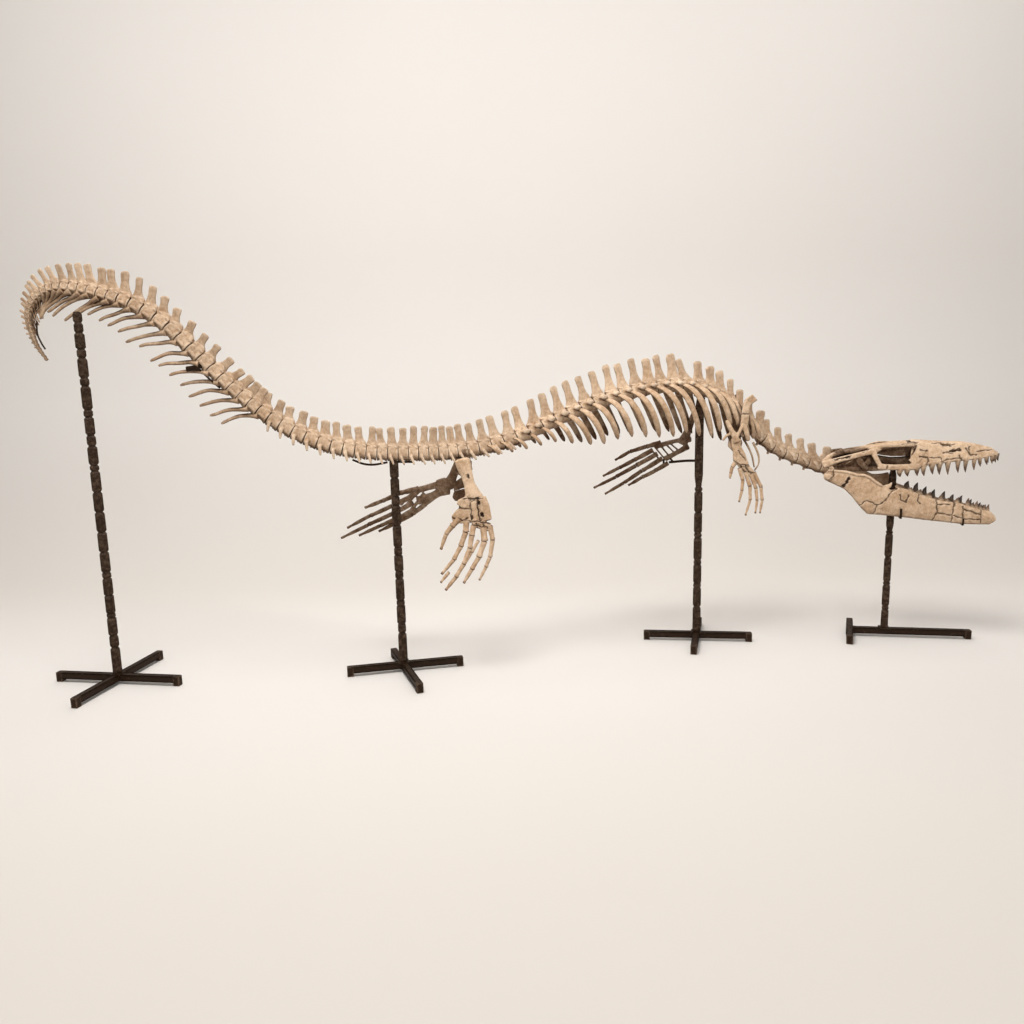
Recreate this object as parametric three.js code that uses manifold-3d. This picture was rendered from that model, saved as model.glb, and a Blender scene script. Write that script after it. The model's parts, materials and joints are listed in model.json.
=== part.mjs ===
// Mounted mosasaur skeleton on four steel stands, at life size, in millimetres.
// +X runs toward the snout, +Y to the animal's left and +Z up. The origin lies on the floor,
// under the middle of the whole model.
import * as THREE from 'three';
import { mergeVertices } from 'three/addons/utils/BufferGeometryUtils.js';
import Module from 'manifold-3d';

const wasm = await Module();
wasm.setup();
const { Manifold, Mesh: SolidMesh } = wasm;

// Gap that neighbouring pieces keep.
const GAP = 0.3;

// The pose: the middle of the vertebrae, from the back of the skull to the tip of the tail.
const SPINE_POINTS = [
  [1425, 297, 794], [1322, 291, 833], [1159, 274, 909], [1024, 254, 1030], [910, 232, 1136],
  [757, 201, 1195], [570, 163, 1192], [363, 117, 1150], [160, 72, 1076], [-39, 21, 998],
  [-233, -28, 957], [-443, -76, 952], [-667, -119, 969], [-848, -139, 1013], [-1020, -152, 1104],
  [-1172, -158, 1230], [-1304, -161, 1369], [-1436, -162, 1504], [-1548, -162, 1580],
  [-1663, -162, 1623], [-1756, -162, 1648], [-1850, -163, 1656], [-1925, -164, 1625],
  [-1967, -165, 1556], [-1956, -165, 1454], [-1916, -164, 1374],
];

// Sizes that change along the spine, as [distance from the skull, value].
const VERTEBRA_LENGTH = [
  [0, 62], [450, 66], [600, 58], [1100, 60], [1500, 65], [1780, 55], [1880, 41], [2250, 44],
  [2450, 55], [2620, 56], [2750, 47], [2950, 53], [3100, 59], [3330, 55], [3450, 44], [3650, 33],
  [3750, 23], [3850, 19], [4000, 17],
];
const CENTRUM_RADIUS = [
  [0, 29], [900, 31], [1900, 33], [3000, 33], [3400, 33], [3620, 27], [3760, 21], [3850, 15],
  [3950, 10], [4040, 6],
];
const NEURAL_HEIGHT = [
  [0, 106], [300, 108], [450, 120], [700, 128], [900, 148], [1500, 143], [1750, 128], [1900, 117],
  [2100, 117], [2500, 105], [2700, 94], [3100, 94], [3250, 101], [3310, 121], [3430, 121],
  [3650, 106], [3700, 97], [3760, 80], [3830, 53], [3930, 32], [4040, 10],
];
const NEURAL_WIDTH = [
  [0, 37], [1500, 37], [1900, 33], [2300, 36], [2700, 30], [3300, 30], [3600, 26], [3750, 18],
  [3850, 13], [4040, 6],
];
const NEURAL_THICKNESS = [[0, 14], [3300, 13], [3700, 9], [3900, 6], [4040, 3]];
// Degrees that a neural spine leans toward the head from straight up.
const NEURAL_LEAN = [
  [0, 0], [500, 4], [700, -3], [800, -12], [1000, -13], [1400, -17], [1850, -10], [2000, 0],
  [2350, 2], [2550, 11], [2720, 20], [2800, 32], [2890, 58], [3000, 52], [3100, 38], [3200, 22],
  [3360, 10], [3560, -4], [3660, -15], [3720, -30], [3850, -42], [3930, -65], [4040, -100],
];
const RIB_REACH = [
  [485, 80], [560, 120], [620, 170], [760, 190], [880, 230], [1000, 205], [1100, 205],
  [1220, 160], [1400, 140], [1470, 105], [1560, 58], [1700, 45], [1870, 32],
];
const RIB_SWEEP = [
  [485, 45], [620, 70], [760, 95], [950, 120], [1100, 112], [1400, 98], [1500, 75], [1600, 55],
  [1870, 38],
];
const RIB_SPREAD = [
  [485, 95], [620, 108], [900, 124], [1250, 112], [1450, 80], [1600, 48], [1870, 34],
];
const CHEVRON_LENGTH = [
  [2700, 155], [2850, 180], [3000, 172], [3150, 160], [3220, 176], [3400, 150], [3560, 180],
  [3700, 140], [3780, 80], [3900, 60],
];
// Degrees that a chevron droops below the horizontal toward the tail.
const CHEVRON_DROOP = [
  [2700, 12], [2850, 3], [2930, -2], [3000, 4], [3250, 9], [3420, 14], [3500, 24], [3650, 30],
  [3720, 60], [3800, 95], [3900, 110],
];

// The place along the pose's x that lies over the origin.
const MODEL_MIDDLE = 25;

// Where the named lengths of the spine end, as distances from the skull.
const NECK_END = 470;
const TORSO_END = 1880;
const TAIL_BASE_END = 2290;
const TAIL_MIDDLE_END = 2710;
const TAIL_REAR_END = 3150;
const TAIL_BEND_END = 3560;
const TAIL_HOOK_END = 3840;
const FIRST_VERTEBRA = -24;
const TAIL_TIP = 12;
const CHEVRON_START = 2700;
const CHEVRON_END = 3900;
const PRONG_END = 2690;
// The hips clasp the spine between these distances, where it has no ribs or side processes.
const HIP_AT = 1862;
const HIP_START = 1790;
const HIP_END = 1935;
// Past this distance the neural spines are too small for shoulders.
const SIMPLE_START = 3700;

// The skull, in a frame whose x runs forward from stand 4, y left and z up from the palate.
const SKULL = {
  place: [1696, 201, 800],
  yaw: -18,
  tip: 414,
  top: [
    [-300, 48], [-265, 76], [-214, 92], [-110, 110], [0, 128], [78, 138], [180, 132], [262, 131],
    [323, 122], [392, 104], [414, 86],
  ],
  toothEdge: [[-66, 8], [18, 6], [60, 12], [141, 29], [264, 47], [344, 55], [383, 66], [414, 72]],
  halfWidth: [[-308, 116], [-60, 101], [60, 78], [200, 52], [330, 36], [395, 25], [414, 15]],
};
const JAW = {
  gap: 0.5,
  outside: 2,
  thickness: 26,
  hook: [[-46, -78], [-20, -66], [-12, -48]],
  top: [
    [-300, -10], [-284, 11], [-214, 4], [-158, -11], [-124, -12], [-98, -28], [-72, -51],
    [-42, -66], [-10, -84], [22, -70], [108, -101], [184, -129], [276, -143], [359, -169],
    [405, -180], [428, -205],
  ],
  bottom: [
    [-300, -34], [-284, -47], [-214, -80], [-179, -116], [-147, -157], [-111, -196], [-60, -198],
    [51, -211], [157, -225], [290, -240], [405, -241], [428, -224],
  ],
};
const UPPER_TEETH = 11;
const LOWER_TEETH = 11;

// Square steel tube of the stands, and the four stands with their bars.
const TUBE = 32;
const BAR = 30;
const BAR_LIFT = 15;
const FOOT = { width: 34, height: 49 };
const SADDLE = { width: 26, thickness: 8, under: 1.6, steps: 3 };
const ROD = 11;
const PALATE_LOW = 1;
const JAW_BAR = { ahead: 30, width: 14, thickness: 5, rise: 50 };
const FLIPPER_ROD = { height: 855, end: [700, 372, 838] };
const STANDS = [
  {
    post: [-1779, -162],
    bars: [{ turn: -9, ends: [-280, 286] }, { turn: 80, ends: [-277, 282] }],
    beads: 12,
    top: 1563,
  },
  {
    post: [-552, -101],
    bars: [{ turn: 12, ends: [-240, 250] }, { turn: 108, ends: [-275, 190] }],
    beads: 7,
    saddle: [2000, 2270],
  },
  {
    post: [805, 211],
    bars: [{ turn: -8, ends: [-247, 256] }, { turn: 74, ends: [-208, 235] }],
    beads: 6,
    saddle: [716, 766],
  },
  {
    post: [1696, 201],
    bars: [{ turn: -10, ends: [-168, 382] }],
    beads: 4,
    cross: { along: -168, turn: 68, ends: [-142, 146] },
  },
];

const BONE = { color: 0xc8aa8c, roughness: 0.82, metalness: 0 };
const STEEL = { color: 0x2c2420, roughness: 0.48, metalness: 0.75 };

const vec = (x, y, z) => new THREE.Vector3(x, y, z);
const FORWARD = vec(1, 0, 0);
const LEFT = vec(0, 1, 0);
const UP = vec(0, 0, 1);

// Value between the two keys on either side of a distance.
function along(keys, at) {
  if (at <= keys[0][0]) return keys[0][1];
  for (let i = 1; i < keys.length; i += 1) {
    const [x0, y0] = keys[i - 1];
    const [x1, y1] = keys[i];
    if (at <= x1) return y0 + ((at - x0) / (x1 - x0)) * (y1 - y0);
  }
  return keys[keys.length - 1][1];
}

function toSolid(geometry) {
  const bare = geometry.clone();
  bare.deleteAttribute('normal');
  bare.deleteAttribute('uv');
  const merged = mergeVertices(bare, 1e-3);
  const corners = merged.index.array;
  const triangles = [];
  for (let i = 0; i < corners.length; i += 3) {
    const [a, b, c] = [corners[i], corners[i + 1], corners[i + 2]];
    if (a !== b && b !== c && c !== a) triangles.push(a, b, c);
  }
  const mesh = new SolidMesh({
    numProp: 3,
    vertProperties: new Float32Array(merged.attributes.position.array),
    triVerts: new Uint32Array(triangles),
  });
  return new Manifold(mesh);
}

function toGeometry(solid) {
  const mesh = solid.getMesh();
  const geometry = new THREE.BufferGeometry();
  geometry.setAttribute('position', new THREE.BufferAttribute(mesh.vertProperties, 3));
  geometry.setIndex(new THREE.BufferAttribute(mesh.triVerts, 1));
  geometry.computeVertexNormals();
  return geometry;
}

// The largest closed body of a solid, without the scraps that a cut can leave.
function largest(solid) {
  const bodies = solid.decompose();
  bodies.sort((a, b) => b.volume() - a.volume());
  return bodies[0];
}

const fuse = (pieces) => largest(Manifold.union(pieces));

// Cuts a solid clear of its neighbour by about the gap, where the two cross.
function clearOf(solid, neighbour) {
  const crossing = solid.intersect(neighbour);
  if (crossing.isEmpty()) return solid;
  const margin = 3;
  const { min, max } = crossing.boundingBox();
  const size = max.map((v, i) => v - min[i] + 2 * margin);
  const middle = max.map((v, i) => (v + min[i]) / 2);
  const near = neighbour.intersect(block(size, middle));
  const shifts = [];
  for (const x of [-GAP, GAP]) {
    for (const y of [-GAP, GAP]) {
      for (const z of [-GAP, GAP]) shifts.push(near.translate([x, y, z]));
    }
  }
  return largest(solid.subtract(Manifold.union(shifts)));
}

// Closed tube through stations { at, across, up, outline }, bent from one cylinder. The outline
// lists [across, up] pairs, and turns from up toward across. The middle of each end cap moves
// onto the first corner, so that the cap has no more faces than it needs.
function sweep(stations) {
  const sides = stations[0].outline.length;
  const rings = stations.length - 1;
  const geometry = new THREE.CylinderGeometry(1, 1, 1, sides, rings);
  const position = geometry.attributes.position;
  for (let i = 0; i < position.count; i += 1) {
    const x = position.getX(i);
    const z = position.getZ(i);
    const station = stations[Math.round((0.5 - position.getY(i)) * rings)];
    const turn = Math.hypot(x, z) > 0.5 ? Math.atan2(x, z) / (2 * Math.PI) : 0;
    const [a, b] = station.outline[(Math.round(turn * sides) + sides) % sides];
    const place = station.at.clone();
    place.addScaledVector(station.across, a).addScaledVector(station.up, b);
    position.setXYZ(i, place.x, place.y, place.z);
  }
  return toSolid(geometry);
}

// Oval outline of a tube with half sizes a and b.
function oval(a, b, sides, phase = 0) {
  const outline = [];
  for (let i = 0; i < sides; i += 1) {
    const turn = ((i + phase) / sides) * 2 * Math.PI;
    outline.push([a * Math.sin(turn), b * Math.cos(turn)]);
  }
  return outline;
}

// Tube through points, with a half width and half thickness at each. The width lies along across.
function rod(points, sizes, across, sides = 4, phase = 0) {
  const stations = points.map((at, i) => {
    const before = points[Math.max(i - 1, 0)];
    const after = points[Math.min(i + 1, points.length - 1)];
    const travel = after.clone().sub(before).normalize();
    const wide = across.clone().addScaledVector(travel, -across.dot(travel)).normalize();
    const up = travel.clone().cross(wide);
    return { at, across: wide, up, outline: oval(sizes[i][0], sizes[i][1], sides, phase) };
  });
  return sweep(stations);
}

// Block with its middle at a place, turned about the vertical.
function block(size, middle, turn = 0) {
  const geometry = new THREE.BoxGeometry(...size);
  geometry.rotateZ(THREE.MathUtils.degToRad(turn));
  geometry.translate(...middle);
  return toSolid(geometry);
}

// The path of the spine, with the frame at a distance from the skull.
const spine = new THREE.CatmullRomCurve3(SPINE_POINTS.map((p) => vec(...p)), false, 'catmullrom', 0.5);
spine.arcLengthDivisions = 1200;
const SPINE_LENGTH = spine.getLength();

function spineAt(distance) {
  const share = THREE.MathUtils.clamp(distance / SPINE_LENGTH, 0, 1);
  const tailward = spine.getTangentAt(share);
  const right = vec(0, -1, 0);
  right.addScaledVector(tailward, -right.dot(tailward)).normalize();
  const up = tailward.clone().cross(right);
  const at = spine.getPointAt(share).addScaledVector(tailward, Math.min(distance, 0));
  return { at, tailward, right, up };
}

// The vertebrae, one after another down the spine.
function layOutVertebrae() {
  const list = [];
  let start = FIRST_VERTEBRA;
  while (start < SPINE_LENGTH - TAIL_TIP) {
    const length = along(VERTEBRA_LENGTH, start);
    list.push({ start, length, middle: start + length / 2, end: start + length });
    start += length;
  }
  return list;
}

const vertebrae = layOutVertebrae();
const between = (from, to) => vertebrae.filter((v) => v.middle >= from && v.middle < to);

// Cross-section of a centrum with its neural arch, wide at its rims and narrow at its waist.
function centrumOutline(radius, waist) {
  const wide = waist ? 0.72 : 1;
  const floor = waist ? 0.62 : 0.82;
  const roof = waist ? 1.42 : 1.2;
  return [
    [-0.34, roof], [0.34, roof], [wide, 0.1],
    [0.5 * wide, -floor], [-0.5 * wide, -floor], [-wide, 0.1],
  ].map(([a, b]) => [a * radius, b * radius]);
}

// Row of centra, each narrow at its waist where no ribs or side processes hide that.
function column(list) {
  const stations = [];
  const addStation = (distance, waist) => {
    const { at, right, up } = spineAt(distance);
    const outline = centrumOutline(along(CENTRUM_RADIUS, distance), waist);
    stations.push({ at, across: right, up, outline });
  };
  list.forEach((vertebra, i) => {
    addStation(vertebra.start + (i === 0 ? GAP / 2 : 0), false);
    const { middle } = vertebra;
    const bare = middle < NECK_END || (middle > PRONG_END && middle < TAIL_REAR_END);
    if (bare) addStation(middle, true);
  });
  addStation(list[list.length - 1].end - GAP / 2, false);
  return sweep(stations);
}

// Neural spine: a blade with a rounded top, leaning as the others near it.
function neuralSpine(vertebra) {
  const { at, right } = spineAt(vertebra.middle);
  const lean = THREE.MathUtils.degToRad(along(NEURAL_LEAN, vertebra.middle));
  const rise = vec(Math.sin(lean), 0, Math.cos(lean));
  const height = along(NEURAL_HEIGHT, vertebra.middle);
  const half = along(NEURAL_WIDTH, vertebra.middle) / 2;
  const thick = along(NEURAL_THICKNESS, vertebra.middle) / 2;
  const root = along(CENTRUM_RADIUS, vertebra.middle) * 0.9;
  const levels = [[root, 1.06, 1.15], [height - 0.45 * half, 0.98, 1], [height, 0.5, 0.75]];
  if (vertebra.middle > SIMPLE_START) levels.splice(1, 1);
  const across = right.clone().addScaledVector(rise, -right.dot(rise)).normalize();
  const foreAft = rise.clone().cross(across);
  const stations = levels.map(([level, wide, deep]) => ({
    at: at.clone().addScaledVector(rise, level),
    across,
    up: foreAft,
    outline: [[-thick * deep, half * wide], [thick * deep, half * wide],
      [thick * deep, -half * wide], [-thick * deep, -half * wide]],
  }));
  return sweep(stations);
}

// Short process on the side of a rear trunk or tail vertebra, pointing out, down and forward.
function sideProng(vertebra, side) {
  const { at, right, up, tailward } = spineAt(vertebra.middle);
  const radius = along(CENTRUM_RADIUS, vertebra.middle);
  const out = right.clone().multiplyScalar(side);
  const quarter = 0.22 * vertebra.length;
  const root = at.clone().addScaledVector(out, 0.4 * radius).addScaledVector(up, -0.1 * radius)
    .addScaledVector(tailward, quarter);
  const tip = at.clone().addScaledVector(out, 1.55 * radius).addScaledVector(up, -1.12 * radius)
    .addScaledVector(tailward, quarter - 0.55 * radius);
  return rod([root, tip], [[10, 8], [7, 5]], tailward, 3);
}

// Rib: springs from the side of the centrum, bows out, then drops and sweeps forward.
function rib(vertebra, side) {
  const { at, right, up, tailward } = spineAt(vertebra.middle);
  const radius = along(CENTRUM_RADIUS, vertebra.middle);
  const reach = along(RIB_REACH, vertebra.middle);
  const sweepRun = along(RIB_SWEEP, vertebra.middle);
  const spread = along(RIB_SPREAD, vertebra.middle);
  const out = vec(right.x, right.y, 0).normalize().multiplyScalar(side);
  const forward = vec(-right.y, right.x, 0).normalize();
  const root = at.clone().addScaledVector(out, 0.4 * radius).addScaledVector(up, 0.4 * radius)
    .addScaledVector(tailward, -0.24 * vertebra.length);
  const place = (o, f, d) => root.clone().addScaledVector(out, o * spread)
    .addScaledVector(forward, f * sweepRun).add(vec(0, 0, -d * reach));
  const turnOut = place(0.85, 0.3, -0.04);
  const bow = new THREE.CubicBezierCurve3(root, turnOut, place(1.02, 0.95, 0.4), place(0.68, 1, 1));
  const segments = reach > 100 ? 3 : 2;
  const points = bow.getPoints(segments);
  const sizes = points.map((_, i) => {
    const share = i / segments;
    return [17 - 6 * share, 9.5 - 3 * share];
  });
  return rod(points, sizes, forward, 4, 0.5);
}

// Chevron: a slender rod below the centrum, swept back along the tail and bowed a little up.
function chevron(vertebra) {
  const { at, up } = spineAt(vertebra.middle + 0.2 * vertebra.length);
  const radius = along(CENTRUM_RADIUS, vertebra.middle);
  const droop = THREE.MathUtils.degToRad(along(CHEVRON_DROOP, vertebra.middle));
  const length = along(CHEVRON_LENGTH, vertebra.middle);
  const back = vec(-Math.cos(droop), 0, -Math.sin(droop));
  const bowUp = vec(-Math.sin(droop), 0, Math.cos(droop));
  const root = at.clone().addScaledVector(up, -0.45 * radius);
  const shares = length > 120 ? [0, 0.5, 1] : [0, 1];
  const points = shares.map((share) => root.clone()
    .addScaledVector(back, share * length)
    .addScaledVector(bowUp, 0.3 * share * (1 - share) * length));
  const slim = THREE.MathUtils.clamp(length / 150, 0.5, 1);
  const sizes = shares.map((share) => [(10 - 4.5 * share) * slim, (9 - 4 * share) * slim]);
  return rod(points, sizes, bowUp, 4, 0.5);
}

// Small peg under a neck vertebra.
function neckPeg(vertebra) {
  const { at, up, tailward } = spineAt(vertebra.end);
  const radius = along(CENTRUM_RADIUS, vertebra.end);
  const root = at.clone().addScaledVector(up, -0.4 * radius);
  const tip = at.clone().addScaledVector(up, -1.25 * radius);
  return rod([root, tip], [[9, 9], [6, 6]], tailward, 4, 0.5);
}

// A length of the spine, with all that grows from its vertebrae.
function spineLength(from, to) {
  const list = between(from, to);
  const pieces = [column(list)];
  list.forEach((vertebra, i) => {
    const { middle } = vertebra;
    pieces.push(neuralSpine(vertebra));
    if (middle < NECK_END && i > 0 && i < list.length - 1) pieces.push(neckPeg(vertebra));
    if (middle > HIP_END && middle < PRONG_END) {
      pieces.push(sideProng(vertebra, 1), sideProng(vertebra, -1));
    }
    const hasChevron = middle < TAIL_BEND_END || i % 2 === 0;
    if (middle > CHEVRON_START && middle < CHEVRON_END && hasChevron) pieces.push(chevron(vertebra));
  });
  return fuse(pieces);
}

// The space on one side of the spine, up to a wall that follows the middle of the torso.
function besideSpine(side) {
  const reachOut = 600;
  const edge = [];
  for (let distance = NECK_END - 120; distance <= TORSO_END + 240; distance += 240) {
    const { at, right } = spineAt(distance);
    edge.push([at.x + right.x * side * (GAP / 2), at.y + right.y * side * (GAP / 2)]);
  }
  const shape = new THREE.Shape();
  shape.moveTo(...edge[0]);
  edge.slice(1).forEach((p) => shape.lineTo(...p));
  const outer = side > 0 ? -reachOut : reachOut;
  shape.lineTo(edge[edge.length - 1][0], edge[edge.length - 1][1] + outer);
  shape.lineTo(edge[0][0], edge[0][1] + outer);
  return toSolid(new THREE.ExtrudeGeometry(shape, { depth: 2000, bevelEnabled: false }));
}

// One half of the torso: the vertebrae cut down their middle, with that side's ribs.
function torsoHalf(side) {
  const list = between(NECK_END, TORSO_END);
  const middleRow = Manifold.union([column(list), ...list.map(neuralSpine)]);
  const half = middleRow.intersect(besideSpine(side));
  const ribbed = list.filter((vertebra) => vertebra.middle < HIP_START);
  return fuse([half, ...ribbed.map((vertebra) => rib(vertebra, side))]);
}

// A limb works in its own frame: aft toward the tail, down, and out from the middle.
function limbFrame(origin, side, turn = 0) {
  const point = (aft, down, out) => vec(-aft, -side * out, -down).applyAxisAngle(UP, turn).add(origin);
  return { side, turn, point };
}

const LIMB_WIDE = vec(1, 0, 0);
const PHALANGES = 3;

// Digit: phalanges in a row, wide at their joints, on a path that turns as it goes. The headings
// are degrees from straight down toward the tail, and out is how far it lies from the middle.
function digit(frame, start, headings, length, width, out) {
  const points = [];
  const sizes = [];
  const steps = PHALANGES * 2;
  let [aft, down] = start;
  for (let i = 0; i <= steps; i += 1) {
    const share = i / steps;
    const outward = out[0] + (out[1] - out[0]) * share;
    points.push(frame.point(aft, down, outward));
    const taper = 1 - 0.35 * share;
    const half = (width / 2) * taper * (i % 2 === 0 ? 1 : 0.68);
    sizes.push([half, half * 0.72]);
    const heading = THREE.MathUtils.degToRad(headings[0] + (headings[1] - headings[0]) * share);
    aft += Math.sin(heading) * (length / steps);
    down += Math.cos(heading) * (length / steps);
  }
  return rod(points, sizes, LIMB_WIDE, 4, 0.5);
}

// Straight limb bone between two places, narrow at its waist.
function limbBone(frame, from, to, widths, thickness) {
  const points = [0, 0.45, 1].map((share) => {
    const place = from.map((v, i) => v + (to[i] - v) * share);
    return frame.point(...place);
  });
  const waist = Math.min(widths[0], widths[1]) * 0.7;
  const sizes = [widths[0], waist, widths[1]].map((w) => [w / 2, thickness / 2]);
  return rod(points, sizes, LIMB_WIDE, 6);
}

// Flat bone from an outline in the limb's aft and down plane.
function limbPlate(frame, outline, out, thickness) {
  const shape = new THREE.Shape(outline.map(([aft, down]) => new THREE.Vector2(-aft, -down)));
  const geometry = new THREE.ExtrudeGeometry(shape, { depth: thickness, bevelEnabled: false });
  geometry.rotateX(Math.PI / 2);
  geometry.translate(0, thickness / 2, 0);
  geometry.rotateZ(frame.turn);
  const place = frame.point(0, 0, out);
  geometry.translate(place.x, place.y, place.z);
  return toSolid(geometry);
}

const SHOULDER_PLACE = vec(944, 236, 973);
// How far the inner face of each hip bone lies from the middle: just clear of the vertebrae.
const HIP_OUT = 33.3;
const hipFrame = spineAt(HIP_AT);
const HIP_PLACE = hipFrame.at.clone().add(vec(0, 0, -22));
const HIP_TURN = Math.atan2(hipFrame.tailward.y, hipFrame.tailward.x) - Math.PI;

// Scapula and coracoid of one side, lying on the front ribs.
function shoulder(side) {
  const frame = limbFrame(SHOULDER_PLACE, side);
  const blade = limbPlate(frame, [
    [18, 4], [-16, 8], [-28, -60], [-38, -110], [-44, -150], [-92, -196], [-72, -214], [-30, -178],
    [-12, -120], [4, -60],
  ], 112, 16);
  const coracoid = limbPlate(frame, [
    [24, -6], [-20, -12], [-34, 26], [-26, 58], [6, 66], [30, 40],
  ], 108, 18);
  return fuse([blade, coracoid]);
}

function foreFlipper(side) {
  const frame = limbFrame(SHOULDER_PLACE, side);
  const near = side > 0;
  if (near) {
    return fuse([
      limbBone(frame, [2, 30, 130.4], [-6, 104, 130.4], [44, 46], 26),
      limbBone(frame, [6, 92, 114], [-18, 150, 118], [34, 36], 20),
      limbBone(frame, [-14, 92, 114], [-58, 152, 118], [22, 24], 18),
      limbPlate(frame, [
        [12, 112], [-38, 112], [-64, 140], [-90, 176], [-60, 196], [-20, 190], [12, 160],
      ], 118, 17),
      digit(frame, [-4, 128], [40, -8], 92, 19, [117, 124]),
      digit(frame, [-32, 160], [-14, 20], 150, 19, [118, 130]),
      digit(frame, [-54, 172], [-14, 26], 192, 19, [118, 133]),
      digit(frame, [-74, 176], [-20, 14], 196, 18, [118, 133]),
      digit(frame, [-84, 150], [-34, 16], 200, 18, [119, 131]),
    ]);
  }
  return fuse([
    limbBone(frame, [14, 22, 130.5], [160, 40, 133], [50, 58], 26),
    limbBone(frame, [150, 28, 127], [300, 58, 140], [30, 26], 20),
    limbBone(frame, [158, 52, 127], [258, 112, 140], [32, 28], 20),
    limbPlate(frame, [[240, 40], [350, 52], [320, 84], [262, 134], [236, 108]], 138, 17),
    digit(frame, [280, 48], [84, 62], 232, 19, [140, 152]),
    digit(frame, [318, 74], [70, 62], 256, 19, [140, 158]),
    digit(frame, [290, 82], [66, 58], 352, 19, [139, 160]),
    digit(frame, [270, 106], [64, 54], 318, 18, [139, 158]),
    digit(frame, [246, 118], [62, 64], 220, 18, [138, 150]),
  ]);
}

// Ilium, pubis and ischium of one side, from the flank of the spine to the hip.
function pelvis(side) {
  const frame = limbFrame(HIP_PLACE, side, HIP_TURN);
  return fuse([
    limbPlate(frame, [[-24, -34], [-26, 10], [-18, 40], [18, 40], [24, 10], [20, -34]], HIP_OUT + 8, 16),
    limbBone(frame, [-6, 26, HIP_OUT + 6], [-56, 74, 20], [34, 46], 16),
    limbBone(frame, [6, 26, HIP_OUT + 6], [56, 78, 20], [34, 46], 16),
  ]);
}

function hindFlipper(side) {
  const frame = limbFrame(HIP_PLACE, side);
  if (side > 0) {
    return fuse([
      limbBone(frame, [16, 16, 66.5], [-20, 166, 84], [66, 84], 30),
      limbPlate(frame, [[40, 160], [-8, 160], [-4, 246], [72, 250], [44, 200]], 92, 20),
      limbBone(frame, [-46, 158, 91], [-72, 262, 96], [42, 36], 20),
      limbBone(frame, [-16, 184, 93], [-30, 262, 96], [26, 32], 18),
      limbPlate(frame, [[70, 236], [-74, 240], [-84, 296], [-30, 304], [66, 282]], 95, 18),
      digit(frame, [52, 256], [66, -2], 146, 26, [96, 106]),
      digit(frame, [32, 262], [2, 46], 258, 23, [96, 114]),
      digit(frame, [2, 266], [4, 42], 330, 24, [96, 118]),
      digit(frame, [-44, 278], [-4, 40], 270, 27, [96, 114]),
      digit(frame, [-76, 276], [-6, 32], 252, 21, [96, 112]),
    ]);
  }
  return fuse([
    limbBone(frame, [20, 16, 65.5], [130, 146, 90], [48, 62], 28),
    limbBone(frame, [130, 134, 90], [236, 160, 96], [34, 30], 20),
    limbBone(frame, [128, 156, 90], [232, 196, 96], [44, 34], 20),
    limbPlate(frame, [
      [210, 140], [250, 144], [296, 172], [300, 216], [270, 250], [226, 216],
    ], 96, 18),
    digit(frame, [230, 152], [80, 62], 276, 19, [97, 112]),
    digit(frame, [268, 182], [68, 65], 338, 19, [97, 116]),
    digit(frame, [258, 204], [68, 64], 388, 19, [97, 118]),
    digit(frame, [262, 228], [66, 66], 288, 18, [97, 114]),
    digit(frame, [238, 214], [64, 60], 228, 18, [97, 110]),
  ]);
}

// Skull and jaws, built in the skull's own frame.
function skullLoft(stations) {
  return sweep(stations.map(({ x, outline }) => ({ at: vec(x, 0, 0), across: LEFT, up: UP, outline })));
}

// Upper surface of the head in one piece: a narrow roof between the openings at the back, and
// the full depth of the snout in front of the eyes.
function skullBody() {
  const roof = [[-262, 22], [-200, 26], [-130, 42], [-100, 78], [-40, 66], [52, 54]];
  const stations = roof.map(([x, half]) => {
    const top = along(SKULL.top, x);
    return { x, outline: [[0, top], [0.55 * half, top - 4], [half, top - 12], [0.96 * half, top - 26],
      [0, top - 28], [-0.96 * half, top - 26], [-half, top - 12], [-0.55 * half, top - 4]] };
  });
  for (const x of [60, 141, 264, 344, 398, SKULL.tip]) {
    const top = along(SKULL.top, x);
    const low = along(SKULL.toothEdge, x);
    const half = along(SKULL.halfWidth, x);
    const cheek = low + 0.45 * (top - low);
    stations.push({ x, outline: [[0, top], [0.55 * half, top - 6], [0.9 * half, cheek], [half, low],
      [0, low + 6], [-half, low], [-0.9 * half, cheek], [-0.55 * half, top - 6]] });
  }
  return skullLoft(stations);
}

// Bar of bone on one side of the skull, through [x, out, z] places.
function skullBar(side, places, widths, thickness) {
  const points = places.map(([x, out, z]) => vec(x, -side * out, z));
  return rod(points, widths.map((w) => [0.62 * w, 0.62 * thickness]), UP, 4, 0.5);
}

function tooth(x, y, z, length, width, down) {
  const sign = down ? -1 : 1;
  const points = [0, 1].map((share) => vec(x - 0.2 * share * length, y, z + sign * (share * length - 4)));
  const sizes = [1, 0.15].map((k) => [0.68 * width * k, 0.6 * width * k]);
  return rod(points, sizes, FORWARD, 4, 0.5);
}

function upperTeeth(side) {
  const teeth = [];
  const first = 22;
  const last = 402;
  for (let i = 0; i < UPPER_TEETH; i += 1) {
    const share = i / (UPPER_TEETH - 1);
    const x = first + (last - first) * share;
    const length = 34 + 12 * Math.sin(Math.PI * Math.min(1, share * 1.15)) - 8 * share;
    const y = -side * (along(SKULL.halfWidth, x) - 9);
    teeth.push(tooth(x, y, along(SKULL.toothEdge, x), length, 22 - 6 * share, true));
  }
  return teeth;
}

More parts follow.
